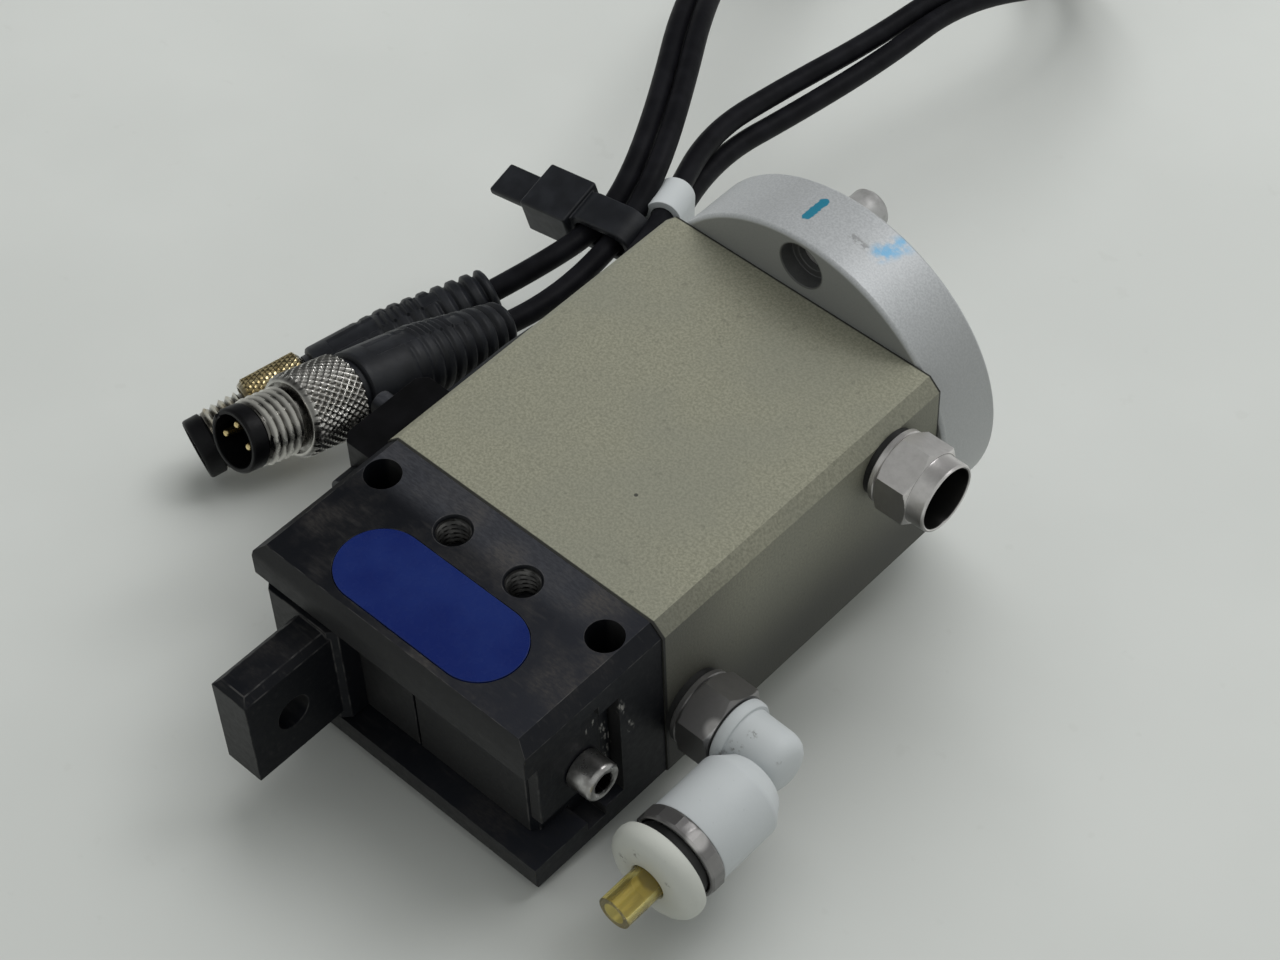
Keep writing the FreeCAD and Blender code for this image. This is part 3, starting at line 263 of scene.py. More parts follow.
# Blackened steel: its tones
BLACK_DEEP = (0.0052, 0.006, 0.0085)
BLACK_SHEEN = (0.0185, 0.02, 0.0265)
REAR_DUST_AND_SHEEN = (0.046, 0.048, 0.057)
DUST_BROWN = (0.075, 0.067, 0.059)
FRONT_SHEEN = (0.03, 0.03, 0.03)
STREAK_GREY = (0.075, 0.07, 0.066)
CHIP_GREY = (0.15, 0.145, 0.14)
SCRAPED_STEEL = (0.34, 0.33, 0.31)
# The top of the base has a painted sheen, dark on the left and paler on the right, and a grey strip along its rear
# of dust with painted sheen
SHEEN_FROM_X = -16.0
SHEEN_TO_X = 21.0
STRIP_REAR = (-60.0, -56.5)
STRIP_LEFT = (19.0, 8.0)
# Dust on the top of the base: x, y and radius of each patch
DUST = (
    (-5.2, -55.7, 3.2), (1.35, -56.6, 3.0), (12.0, -56.0, 4.0), (17.3, -65.6, 4.2), (18.6, -61.2, 2.6),
    (-16.5, -66.5, 3.4), (4.0, -72.0, 3.0),
)
# Bright scrapes round the right end screw, start and end of each
SCRAPES = (
    ((18.35, -61.2, 3.4), (18.35, -61.0, 1.6)), ((18.35, -60.6, 1.2), (18.35, -60.4, -1.0)),
    ((18.4, -63.4, 5.0), (18.4, -62.4, 5.6)), ((19.8, -58.7, 2.6), (19.8, -58.5, 1.4)),
    ((19.8, -59.8, 7.2), (19.8, -59.7, 5.4)), ((18.35, -61.0, -0.6), (18.35, -60.9, -2.2)),
)
SCRAPE_R = 0.65


def blackened_steel():
    f = Finish("blackened_steel")
    cloud = f.noise(0.16, 6.0, rough=0.62)
    up = f.facing("Z").step(0.6, 0.95)
    # Painted sheen on up-facing faces, growing towards +X
    right = f.axis("X").step(SHEEN_FROM_X, SHEEN_TO_X)
    base = f.mix(right * up, BLACK_DEEP, BLACK_SHEEN)
    scratch = f.noise(2.4, 6.0, (0.5, 1.7, 1.0), 0.72).step(0.38, 0.64)
    # Dust and painted sheen in a strip along the rear of the top
    strip = f.axis("Y").step(*STRIP_REAR) * f.axis("X").step(*STRIP_LEFT)
    base = f.mix(strip * up * (0.3 + cloud * 0.55 + scratch * 0.4), base, REAR_DUST_AND_SHEEN)
    dust = cloud.step(0.44, 0.7) * 0.3 + f.noise(0.5, 5.0).step(0.5, 0.7) * 0.14
    for x, y, radius in DUST:
        dust = dust + f.far((x, y, TOP)).step(radius, radius * 0.2) * cloud.step(0.3, 0.65) * 0.5
    base = f.mix(dust * up * (0.4 + scratch * 0.7) * (0.6 + right * 0.4), base, DUST_BROWN)
    # Painted sheen: faces towards the front are made paler
    front = f.facing("Y").step(-0.7, -0.95)
    base = f.mix(front * (0.4 + cloud * 0.6), base, FRONT_SHEEN)
    streak = f.noise(1.0, 4.0, (0.3, 1.5, 1.0)).step(0.57, 0.75)
    base = f.mix(streak * 0.16, base, STREAK_GREY)
    chip = f.noise(0.55, 4.0).step(0.42, 0.62)
    base = f.mix(f.worn() * (0.04 + chip * 0.28), base, CHIP_GREY)
    scrape = 0.0
    for start, end in SCRAPES:
        scrape = f.stroke(start, end).step(SCRAPE_R, 0.15).most(scrape)
    scrape = scrape * f.noise(1.6, 4.0, (1.0, 1.6, 0.7)).step(0.5, 0.62)
    base = f.mix(scrape * 0.75, base, SCRAPED_STEEL)
    rough = f.noise(1.3, 4.0) * 0.22 + 0.34 + cloud * 0.1
    return f.surface(base, rough, f.noise(3.2, 3.0), 0.012, Metallic=0.1, Specular_IOR_Level=0.22)


# Blue film of the name plate
BLUE_DEEP = (0.0035, 0.0125, 0.102)
BLUE_PALE = (0.0065, 0.0195, 0.122)
BLUE_EDGE = (0.02, 0.03, 0.09)


def blue_film():
    f = Finish("blue_film")
    base = f.mix(f.noise(0.15, 4.0).step(0.3, 0.7), BLUE_DEEP, BLUE_PALE)
    base = f.mix(f.worn() * 0.6, base, BLUE_EDGE)
    return f.surface(base, f.noise(0.9, 4.0) * 0.14 + 0.2, Specular_IOR_Level=0.25)


# Silver anodising of the disc: its tones, and painted shade on its front face and its +X rim
SILVER_DARK = (0.48, 0.495, 0.51)
SILVER_LIGHT = (0.58, 0.595, 0.61)
SILVER_CLOUD = (0.43, 0.44, 0.44)
SILVER_WORN = (0.72, 0.73, 0.73)
FACE_SHADE = (0.24, 0.245, 0.24)
RIM_SHADE = (0.3, 0.305, 0.3)
HOLE_SHADE = (0.055, 0.055, 0.053)
# Marks of a felt pen on the rim, start and end of each
TEAL = (0.004, 0.25, 0.39)
TEAL_MARK = ((-2.16, -5.5, 21.29), (-2.13, -2.6, 21.29))
BLUE = (0.14, 0.42, 0.68)
BLUE_SMEAR = ((6.9, -3.9, 20.26), (8.2, 0.1, 19.75))
GREY = (0.2, 0.2, 0.2)
GREY_RUB = ((3.6, -4.5, 21.1), (5.7, -4.6, 20.63))
# Hole of the locating pin, open at the front of the disc, where its mouth is darkened as painted shade
PIN_HOLE = ((0.0, HOUSING_REAR, 17.6), (0.0, -4.0, 17.6))
PIN_MOUTH_R = 2.9


def silver_anodising():
    f = Finish("silver_anodising")
    grain = f.noise(4.2, 2.0)
    base = f.mix(grain.step(0.3, 0.7), SILVER_DARK, SILVER_LIGHT)
    base = f.mix(f.noise(0.1, 4.0).step(0.5, 0.75) * 0.3, base, SILVER_CLOUD)
    rub = f.stroke(*GREY_RUB).step(0.65, 0.2) * f.noise(1.8, 3.0).step(0.42, 0.56)
    base = f.mix(rub * 0.55, base, GREY)
    smear = f.stroke(*BLUE_SMEAR).step(1.7, 0.3) * f.noise(0.9, 4.0).step(0.3, 0.62)
    base = f.mix(smear * 0.85, base, BLUE)
    mark = (f.stroke(*TEAL_MARK) + f.noise(2.2, 2.0) * 0.4).step(0.86, 0.7)
    base = f.mix(mark * 0.95, base, TEAL)
    # Painted shade: the face towards the front and the rim towards +X are darkened
    base = f.mix(f.facing("Y").step(-0.6, -0.95) * 0.8, base, FACE_SHADE)
    base = f.mix(f.facing("X").step(0.5, 0.95) * 0.6, base, RIM_SHADE)
    base = f.mix(f.worn() * 0.15, base, SILVER_WORN)
    # Painted shade in the mouth of the pin hole
    hole = f.stroke(*PIN_HOLE).step(PIN_MOUTH_R + 0.3, PIN_MOUTH_R + 0.05)
    base = f.mix(hole * 0.85, base, HOLE_SHADE)
    return f.surface(base, grain * 0.14 + 0.38, grain, 0.014, Metallic=0.45)


def plain_metal(name, dark, light, rough, metal=1.0):
    f = Finish(name)
    smear = f.noise(0.5, 4.0)
    base = f.mix(smear.step(0.35, 0.68), light, dark)
    return f.surface(base, smear * 0.25 + (rough - 0.1), f.noise(3.0, 2.0), Metallic=metal)


# White moulding: its tones, and where the yellower collar starts
WHITE_DARK = (0.47, 0.495, 0.51)
WHITE_LIGHT = (0.55, 0.575, 0.585)
COLLAR_WHITE = (0.52, 0.53, 0.49)
COLLAR_REAR = -66.0
# Grime on the white pieces: middle and radius of each spot
GRIME_BROWN = (0.12, 0.115, 0.1)
GRIME = (
    ((28.5, -52.1, -0.5), 1.1), ((29.3, -50.4, 0.5), 0.8), ((27.6, -53.2, -2.0), 1.2),
    ((33.4, -50.6, -0.2), 0.7), ((28.3, -69.1, -2.0), 0.9), ((30.2, -69.1, 0.6), 0.7),
    ((34.5, -69.1, -0.6), 0.6), ((32.6, -69.1, -4.9), 0.8),
)


def white_moulding():
    f = Finish("white_moulding")
    fleck = f.noise(1.7, 5.0, rough=0.65)
    base = f.mix(f.noise(0.12, 2.0), WHITE_DARK, WHITE_LIGHT)
    base = f.mix(f.axis("Y").step(COLLAR_REAR, COLLAR_REAR - 0.6), base, COLLAR_WHITE)
    grime = fleck.step(0.66, 0.76) * 0.35
    for spot, radius in GRIME:
        grime = (f.far(spot).step(radius, radius * 0.2) * fleck.step(0.5, 0.6)).most(grime)
    base = f.mix(grime * 0.75, base, GRIME_BROWN)
    return f.surface(base, 0.14 * f.noise(1.0, 2.0) + 0.42, f.noise(1.6, 3.0), 0.012)


AMBER_DARK = (0.9, 0.74, 0.24)
AMBER_LIGHT = (0.94, 0.84, 0.38)


def amber_tubing():
    f = Finish("amber_tubing")
    base = f.mix(f.noise(0.35, 3.0), AMBER_DARK, AMBER_LIGHT)
    return f.surface(base, f.noise(0.8, 2.0) * 0.1 + 0.03, Transmission_Weight=0.9, IOR=1.42)


def black_moulding(name, dark, light, rough, shine=0.5):
    f = Finish(name)
    base = f.mix(f.noise(0.35, 4.0).step(0.35, 0.7), dark, light)
    rough = f.noise(1.1, 3.0) * 0.2 + (rough - 0.1)
    return f.surface(base, rough, f.noise(2.5, 2.0), 0.015, Specular_IOR_Level=shine)


# Finish of each material slot; the plain ones have a dark and a light tone and a roughness
FINISHES = {
    "olive_housing": olive_anodising(),
    "black_steel": blackened_steel(),
    "blue_label": blue_film(),
    "silver_disc": silver_anodising(),
    "plain_steel": plain_metal("ground_steel", (0.42, 0.41, 0.4), (0.7, 0.69, 0.68), 0.27),
    "nickel": plain_metal("nickel_plate", (0.5, 0.48, 0.45), (0.78, 0.76, 0.72), 0.27),
    "bronze": plain_metal("bearing_bronze", (0.42, 0.27, 0.12), (0.62, 0.43, 0.22), 0.38),
    "seal": black_moulding("seal_rubber", (0.008, 0.008, 0.008), (0.02, 0.02, 0.02), 0.6),
    "piston_alloy": plain_metal("turned_alloy", (0.5, 0.5, 0.51), (0.68, 0.68, 0.69), 0.36),
    "magnet": plain_metal("sintered_magnet", (0.09, 0.09, 0.1), (0.17, 0.17, 0.18), 0.55, 0.6),
    "white_plastic": white_moulding(),
    "amber_tube": amber_tubing(),
    "black_plastic": black_moulding(
        "plug_moulding", (0.0085, 0.0095, 0.0125), (0.015, 0.0165, 0.021), 0.48),
    "cable_jacket": black_moulding(
        "cable_jacket", (0.0055, 0.0055, 0.0072), (0.009, 0.009, 0.0115), 0.5, 0.12),
    "gold": plain_metal("gold_flash", (0.78, 0.6, 0.26), (0.95, 0.78, 0.42), 0.24),
}


# Plate of the fittings: its tones
PLATE_LIGHT = (0.78, 0.755, 0.745)
PLATE_DARK = (0.56, 0.54, 0.53)
PLATE_SHADE_BELOW = (0.13, 0.128, 0.12)
PLATE_SHADED_FRONT = (0.15, 0.146, 0.147)
CUP_SHADE = (0.012, 0.012, 0.011)
# Axis of the open cup of the rear fitting, and the radius of its wall, inside which the bore is darkened as
# painted shade
CUP_AXIS = ((22.0, REAR_PORT_Y, REAR_PORT_Z), (29.0, REAR_PORT_Y, REAR_PORT_Z))
CUP_WALL = 3.78
# The front fitting and the clamp ring are darkened by painted shade, but for painted glints: middle and radius
SHADED_Y = (-40.0, -44.0)
GLINT_SPOTS = (((25.8, -52.6, 0.6), 1.5), ((34.2, -64.2, 1.8), 1.5))


def fitting_plate():
    """Nickel, with painted shade below, towards the front and in the bore of the cup, and painted glints."""
    f = Finish("fitting_plate")
    smear = f.noise(0.9, 5.0, rough=0.6)
    base = f.mix(smear.step(0.35, 0.7) * 0.4, PLATE_LIGHT, PLATE_DARK)
    # Painted shade on faces turned downwards
    base = f.mix(f.facing("Z").step(0.35, -0.1) * 0.8, base, PLATE_SHADE_BELOW)
    # Painted shade towards the front, lifted again at painted glints
    front_shade = f.axis("Y").step(*SHADED_Y) * 0.82
    for spot, radius in GLINT_SPOTS:
        front_shade = front_shade * (1 - f.far(spot).step(radius, radius * 0.5) * 0.9)
    base = f.mix(front_shade, base, PLATE_SHADED_FRONT)
    # Painted shade in the bore of the cup
    bore = f.stroke(*CUP_AXIS).step(CUP_WALL + 0.06, CUP_WALL - 0.02)
    base = f.mix(bore * 0.97, base, CUP_SHADE)
    return f.surface(base, smear * 0.16 + 0.24, f.noise(3.0, 2.0), Metallic=0.8)


# Steel of the end screws: its tones, the axis of both, and the corner radius of their key sockets
SCREW_LIGHT = (0.64, 0.63, 0.62)
SCREW_DARK = (0.36, 0.35, 0.34)
SCREW_SHADE_BELOW = (0.07, 0.07, 0.068)
SOCKET_SHADE = (0.016, 0.016, 0.016)
SCREW_AXIS = ((-22.0, END_SCREW_Y, 0.0), (22.0, END_SCREW_Y, 0.0))
KEY_R = 1.34


def screw_steel():
    """Ground steel, with painted shade below and in the key socket."""
    f = Finish("screw_steel")
    smear = f.noise(0.8, 4.0)
    base = f.mix(smear.step(0.35, 0.68), SCREW_LIGHT, SCREW_DARK)
    # Painted shade on faces turned downwards
    base = f.mix(f.facing("Z").step(0.1, -0.5) * 0.75, base, SCREW_SHADE_BELOW)
    # Painted shade in the key socket
    socket = f.stroke(*SCREW_AXIS).step(KEY_R + 0.06, KEY_R - 0.06)
    base = f.mix(socket * 0.96, base, SOCKET_SHADE)
    return f.surface(base, smear * 0.2 + 0.2, f.noise(3.0, 2.0), Metallic=1.0)


FITTING_PLATE = fitting_plate()
SCREW_STEEL = screw_steel()
PIN_STEEL = plain_metal("pin_steel", (0.36, 0.355, 0.35), (0.55, 0.545, 0.54), 0.5, 0.6)
CUT_THREAD = plain_metal("cut_thread", (0.06, 0.06, 0.06), (0.2, 0.195, 0.19), 0.36)
INSERT_BLACK = black_moulding(
    "insert_moulding", (0.0025, 0.0025, 0.003), (0.0045, 0.0045, 0.0055), 0.42, 0.22)


def piece_from(bm, name, node, finish=None, crease=38, stands_for=True):
    """Makes a piece of a mesh in the part's frame and lets it ride with a node's body."""
    mesh = bpy.data.meshes.new(name)
    bmesh.ops.recalc_face_normals(bm, faces=bm.faces)
    bm.to_mesh(mesh)
    bm.free()
    mesh.polygons.foreach_set("use_smooth", [True] * len(mesh.polygons))
    mesh.set_sharp_from_angle(angle=math.radians(crease))
    piece = bpy.data.objects.new(name, mesh)
    scene.collection.objects.link(piece)
    mesh.materials.append(finish or FINISHES[slot_of[node]])
    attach(piece, body_of[node])
    if stands_for:
        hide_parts(node)
    return piece


# Breaking of edges: what is welded, what counts as flat, and what counts as a sharp edge
WELD_M = 1e-6
FLAT = math.radians(0.4)
SHARP = math.radians(38)
WALL_SLACK = 0.02


def machined(node, width, finish=None, widen=()):
    """A solid with its sharp edges broken and marked as worn; widen gives bores another radius."""
    bm = bmesh.new()
    bm.from_mesh(nodes[node].data)
    bmesh.ops.remove_doubles(bm, verts=bm.verts, dist=WELD_M)
    bmesh.ops.dissolve_limit(bm, angle_limit=FLAT, verts=bm.verts, edges=bm.edges)
    for place, old, new in widen:
        back = place.inverted()
        for vert in bm.verts:
            local = back @ vert.co
            radius = math.hypot(local.x, local.y) / MM
            if abs(radius - old) < WALL_SLACK:
                vert.co = place @ Vector((local.x * new / radius, local.y * new / radius, local.z))
    sharp = [e for e in bm.edges if e.is_manifold and e.calc_face_angle(0) > SHARP]
    worn = bm.faces.layers.float.new("worn")
    made = bmesh.ops.bevel(
        bm, geom=sharp, offset=width * MM, offset_type="OFFSET", segments=2, profile=0.5,
        affect="EDGES", clamp_overlap=True)
    for face in made["faces"]:
        face[worn] = 1.0
    piece = piece_from(bm, node + "_finished", node, finish, crease=50)
    flat = piece.modifiers.new("flat faces", "WEIGHTED_NORMAL")
    flat.keep_sharp = True


def axis_at(origin_mm, direction):
    """Placement that takes +Z to a direction at a spot, its +Y as high as can be."""
    turn = Vector(direction).to_track_quat("Z", "Y").to_matrix().to_4x4()
    return Matrix.Translation(Vector(origin_mm) * MM) @ turn


def turned(profile, place, sides=72, shape=None, bm=None):
    """A closed shell turned about +Z of place; profile has (radius, height) points in millimetres.

    shape, where given, works out the radius at an angle from a point's radius and height.
    """
    bm = bm or bmesh.new()
    rings = []
    for radius, height in profile:
        if radius == 0:
            rings.append([bm.verts.new(place @ Vector((0, 0, height * MM)))] * sides)
            continue
        ring = []
        for k in range(sides):
            angle = TAU * k / sides
            r = shape(angle, radius, height) if shape else radius
            spot = Vector((r * math.cos(angle), r * math.sin(angle), height))
            ring.append(bm.verts.new(place @ (spot * MM)))
        rings.append(ring)
    for low, high in zip(rings, rings[1:] + rings[:1]):
        for k in range(sides):
            corners = (low[k], low[(k + 1) % sides], high[(k + 1) % sides], high[k])
            distinct = list(dict.fromkeys(corners))
            if len(distinct) > 2:
                bm.faces.new(distinct)
    return bm


def span(start, end, step):
    """Evenly spaced heights from start to end, about step apart."""
    count = max(1, round((end - start) / step))
    return [start + (end - start) * k / count for k in range(count + 1)]


def saw(x):
    """1 at every whole number, 0 half way between."""
    return abs(2 * (x % 1.0) - 1)


def hump(x):
    """A smooth hump, one wide and one high, about 0."""
    return math.cos(math.pi * x) ** 2 if abs(x) < 0.5 else 0.0


def flats(angle, corner, count):
    """Radius of a regular polygon; a flat faces the angle 0."""
    half = math.pi / count
    off = (angle + half) % (2 * half) - half
    return corner * math.cos(half) / math.cos(off)


# Cables: the corners of the two runs, in millimetres, from the sensors to the plugs
LOWER_RUN = (
    (-22.6, -27.5, -1.0), (-22.6, -18.5, -1.0), (-26.7, -6.9, -4.4), (-31.4, 3.0, -6.1),
    (-35.8, 16.9, -7.0), (-33.8, 30.2, -7.5), (-32.1, 45.7, -7.9), (-31.8, 61.7, -8.1),
    (-27.9, 80.0, -15.0), (-30.0, 97.3, -24.2), (-44.3, 104.1, -32.5), (-61.0, 102.2, -33.8),
    (-73.2, 89.9, -29.3), (-74.0, 75.0, -21.0), (-67.84, 56.0, -10.45), (-53.44, 30.3, -0.06),
    (-43.46, 15.01, 0.13), (-37.0, 2.87, -0.69), (-36.0, -4.18, -3.5), (-36.34, -13.2, -3.09),
    (-38.68, -20.24, -4.22),
)
UPPER_RUN = (
    (-22.6, -27.5, 5.0), (-22.6, -18.5, 5.0), (-26.7, -6.9, -0.3), (-31.4, 3.4, -2.9),
    (-37.2, 17.1, -4.0), (-36.7, 30.9, -5.6), (-35.0, 46.5, -7.0), (-34.6, 61.7, -8.0),
    (-32.0, 78.0, -14.0), (-32.7, 91.3, -21.2), (-44.0, 99.9, -29.1), (-58.8, 99.2, -30.8),
    (-69.7, 89.6, -26.5), (-70.8, 74.0, -19.2), (-64.66, 56.0, -9.55), (-51.13, 32.12, 0.36),
    (-41.38, 16.97, 0.57), (-34.7, 5.14, 0.1), (-32.41, -3.65, -2.81), (-31.47, -17.66, -3.71),
    (-31.9, -25.33, -1.48),
)
CABLE_R = 1.4


def cable(node, corners):
    curve = bpy.data.curves.new(node + "_jacket", "CURVE")
    curve.dimensions = "3D"
    curve.bevel_depth = CABLE_R * MM
    curve.bevel_resolution = 6
    curve.resolution_u = 10
    curve.use_fill_caps = True
    spline = curve.splines.new("NURBS")
    spline.points.add(len(corners) - 1)
    for point, corner in zip(spline.points, corners):
        point.co = (*(Vector(corner) * MM), 1.0)
    spline.order_u = 3
    spline.use_endpoint_u = True
    piece = bpy.data.objects.new(node + "_jacket", curve)
    scene.collection.objects.link(piece)
    curve.materials.append(FINISHES["cable_jacket"])
    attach(piece, "housing")
    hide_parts(node)
    return piece


lower_cable = cable("lower_cable", LOWER_RUN)
upper_cable = cable("upper_cable", UPPER_RUN)


# Plugs, measured in millimetres from the cable end towards the contacts: the ribbed grip and its core
PLUG_LEN = 39.6
PLUG_SIDES = 120
CAP_R = 3.1
TAPER_END = 13.0
GRIP_R = 4.55
GRIP_END = 23.2
GRIP_STEP = 0.14
SHOULDER_R = 3.9
SHOULDER_END = 23.9
CORE_R = 3.3
CORE_END = 35.2
RIB_FIRST = 1.3
RIB_PITCH = 1.85
RIB_COUNT = 9
RIB_WIDE = 1.15
RIB_DEEP = 0.62
RIB_SHALLOW = 0.16
# Sunk strip on the grip, with small ridges
STRIP_AT = math.radians(98)
STRIP_HALF = math.radians(17)
STRIP_SUNK = 0.22
STRIP_FROM = 6.5
STRIP_TO = 20.5
RIDGE_FROM = 8.5
RIDGE_TO = 14.5
RIDGE_PITCH = 0.85
RIDGE_HIGH = 0.3
# Insert with its recess, the key notch in its lip, and the contacts
FACE_R = 3.78
FACE_FROM = 37.75
FACE_TO = 39.9
RECESS_R = 3.15
RECESS_FLOOR = 36.2
LIP_R = 3.5
NOTCH_AT = math.radians(150)
NOTCH_HALF = math.radians(9)
NOTCH_DEEP = 0.5
PIN_CIRCLE = 1.95
PIN_ANGLES = [math.radians(a) for a in (10, 100, 190)]
PIN_R = 0.44
PIN_TIP = 39.55


def plug_place(joint):
    """A plug's own frame, from the cable end towards the contacts."""
    tip = Vector(joints[joint]["pos_m"]) / MM
    along = Vector(joints[joint]["axis"]).normalized()
    return axis_at(tip - along * PLUG_LEN, along)


def off_by(angle, middle):
    return abs((angle - middle + math.pi) % TAU - math.pi)


def grip_radius(height):
    return CAP_R + (GRIP_R - CAP_R) * min(height / TAPER_END, 1.0)


def rib_cut(height):
    cut = 0.0
    for k in range(RIB_COUNT):
        deep = RIB_DEEP + (RIB_SHALLOW - RIB_DEEP) * k / (RIB_COUNT - 1)
        cut += deep * hump((height - RIB_FIRST - RIB_PITCH * k) / RIB_WIDE)
    return cut


def grip_shape(angle, radius, height):
    """Ribbed grip with a sunk, ridged strip."""
    if not STRIP_FROM < height < STRIP_TO or off_by(angle, STRIP_AT) > STRIP_HALF:
        return radius
    sunk = grip_radius(height) - STRIP_SUNK
    if RIDGE_FROM < height < RIDGE_TO:
        return sunk + RIDGE_HIGH * hump((height / RIDGE_PITCH) % 1.0 - 0.5)
    return sunk


def face_shape(angle, radius, height):
    """Insert with a key notch in its lip."""
    notched = radius > LIP_R and off_by(angle, NOTCH_AT) < NOTCH_HALF
    return radius - NOTCH_DEEP if notched else radius


def plug(side, joint):
    place = plug_place(joint)
    node = side + "_plug"
    grip = [(0, 0), (CAP_R - 0.55, 0), (CAP_R - 0.15, 0.2)]
    grip += [(grip_radius(t) - rib_cut(t), t) for t in span(0.5, GRIP_END - 0.5, GRIP_STEP)]
    grip += [(GRIP_R - 0.08, GRIP_END - 0.2), (GRIP_R - 0.35, GRIP_END), (SHOULDER_R, GRIP_END)]
    grip += [(SHOULDER_R, SHOULDER_END), (CORE_R, SHOULDER_END), (CORE_R, CORE_END), (0, CORE_END)]
    piece_from(turned(grip, place, PLUG_SIDES, grip_shape), node + "_finished", node)
    foot = CORE_END + 0.05
    face = [(0, foot), (CORE_R, foot), (CORE_R, FACE_FROM - 0.1), (FACE_R - 0.18, FACE_FROM)]
    face += [(FACE_R, FACE_FROM + 0.15), (FACE_R, FACE_TO - 0.35), (FACE_R - 0.08, FACE_TO - 0.12)]
    face += [(FACE_R - 0.23, FACE_TO), (RECESS_R + 0.1, FACE_TO), (RECESS_R, FACE_TO - 0.1)]
    face += [(RECESS_R, RECESS_FLOOR), (0, RECESS_FLOOR)]
    bm = turned(face, place, PLUG_SIDES, face_shape)
    piece_from(bm, side + "_insert", node, INSERT_BLACK, stands_for=False)
    foot = RECESS_FLOOR - 0.1
    pin = [(0, foot), (PIN_R, foot), (PIN_R, PIN_TIP - 0.4), (PIN_R * 0.92, PIN_TIP - 0.22)]
    pin += [(PIN_R * 0.7, PIN_TIP - 0.08), (PIN_R * 0.36, PIN_TIP - 0.01), (0, PIN_TIP)]
    bm = bmesh.new()
    for angle in PIN_ANGLES:
        spot = Vector((math.cos(angle), math.sin(angle), 0)) * PIN_CIRCLE * MM
        turned(pin, place @ Matrix.Translation(spot), 20, bm=bm)
    piece_from(bm, side + "_pins_finished", side + "_pins")


# Coupling nut, in the plug's own frame: diamond knurl, then the thread
KNURL_FROM = 24.2
KNURL_TO = 32.2
KNURL_R = 4.95
KNURL_COUNT = 32
KNURL_PITCH = 1.1
KNURL_DEEP = 0.36
THREAD_FROM = 32.9
THREAD_TO = 37.2
THREAD_R = 4.0
THREAD_PITCH = 1.0
THREAD_DEEP = 0.5
NUT_BORE = 3.38
NUT_END = 37.6
NUT_GROOVE_DIRT_AND_SHADE = (0.05, 0.047, 0.042)


def nut_shape(angle, radius, height):
    if radius == KNURL_R:
        around = angle * KNURL_COUNT / TAU
        along = (height - KNURL_FROM) / KNURL_PITCH
        return radius - KNURL_DEEP * (1 - max(saw(around + along), saw(around - along)))
    if radius == THREAD_R:
        return radius - THREAD_DEEP * saw(height / THREAD_PITCH - angle / TAU)
    return radius


def plated_nut(joint, knurl_dark, knurl_light, thread):
    """One plating on the knurl, another on the thread in front of it, dirt and painted shade in the grooves of
    both.
    """
    f = Finish(joint + "_plating")
    along = Vector(joints[joint]["axis"]).normalized()
    end = Vector(joints[joint]["pos_m"]) / MM
    ahead = f.vector("DOT_PRODUCT", f.place, along, out="Value") - along.dot(end)
    knurl_end = KNURL_TO - PLUG_LEN
    threaded = ahead.step(knurl_end - 0.2, knurl_end + 0.2)
    smear = f.noise(0.6, 4.0).step(0.35, 0.68)
    knurled = f.mix(smear, knurl_light, knurl_dark)
    base = f.mix(threaded, knurled, f.mix(smear * 0.5, thread, knurl_dark))
    away = f.stroke(end - along * 2 * PLUG_LEN, end)
    # Dirt and painted shade in the pits of the knurl and the grooves of the thread
    pit = away.step(KNURL_R - KNURL_DEEP * 0.25, KNURL_R - KNURL_DEEP * 0.9)
    groove = away.step(THREAD_R - THREAD_DEEP * 0.3, THREAD_R - THREAD_DEEP * 0.85)
    base = f.mix(pit * (1 - threaded) * 0.68 + groove * threaded * 0.75, base, NUT_GROOVE_DIRT_AND_SHADE)
    return f.surface(base, 0.16 + smear * 0.2, f.noise(3.0, 2.0), Metallic=1.0)


def nut(node, joint, finish):
    outline = [(NUT_BORE, KNURL_FROM), (KNURL_R - 0.65, KNURL_FROM), (KNURL_R - 0.4, KNURL_FROM + 0.25)]
    outline += [(KNURL_R, t) for t in span(KNURL_FROM + 0.45, KNURL_TO - 0.7, KNURL_PITCH / 10)]
    outline += [(KNURL_R - 0.23, KNURL_TO - 0.5), (KNURL_R - 0.45, KNURL_TO - 0.05)]
    outline += [(KNURL_R - 0.55, KNURL_TO), (KNURL_R - 0.75, KNURL_TO), (KNURL_R - 0.8, KNURL_TO - 0.5)]
    outline += [(THREAD_R - 0.45, KNURL_TO - 0.5), (THREAD_R - THREAD_DEEP, THREAD_FROM - 0.2)]
    outline += [(THREAD_R, t) for t in span(THREAD_FROM, THREAD_TO, THREAD_PITCH / 12)]
    outline += [(THREAD_R - 0.38, NUT_END - 0.1), (THREAD_R - 0.45, NUT_END), (NUT_BORE, NUT_END)]
    bm = turned(outline, plug_place(joint), KNURL_COUNT * 10, nut_shape)
    piece_from(bm, node + "_finished", node, finish, 50)


BRIGHT_NUT = plated_nut("near_nut_turn", (0.64, 0.62, 0.59), (0.92, 0.9, 0.86), (0.74, 0.72, 0.67))
BRASSY_NUT = plated_nut("far_nut_turn", (0.42, 0.32, 0.15), (0.7, 0.58, 0.33), (0.62, 0.6, 0.55))
plug("near", "near_nut_turn")
plug("far", "far_nut_turn")
nut("near_nut", "near_nut_turn", BRIGHT_NUT)
nut("far_nut", "far_nut_turn", BRASSY_NUT)


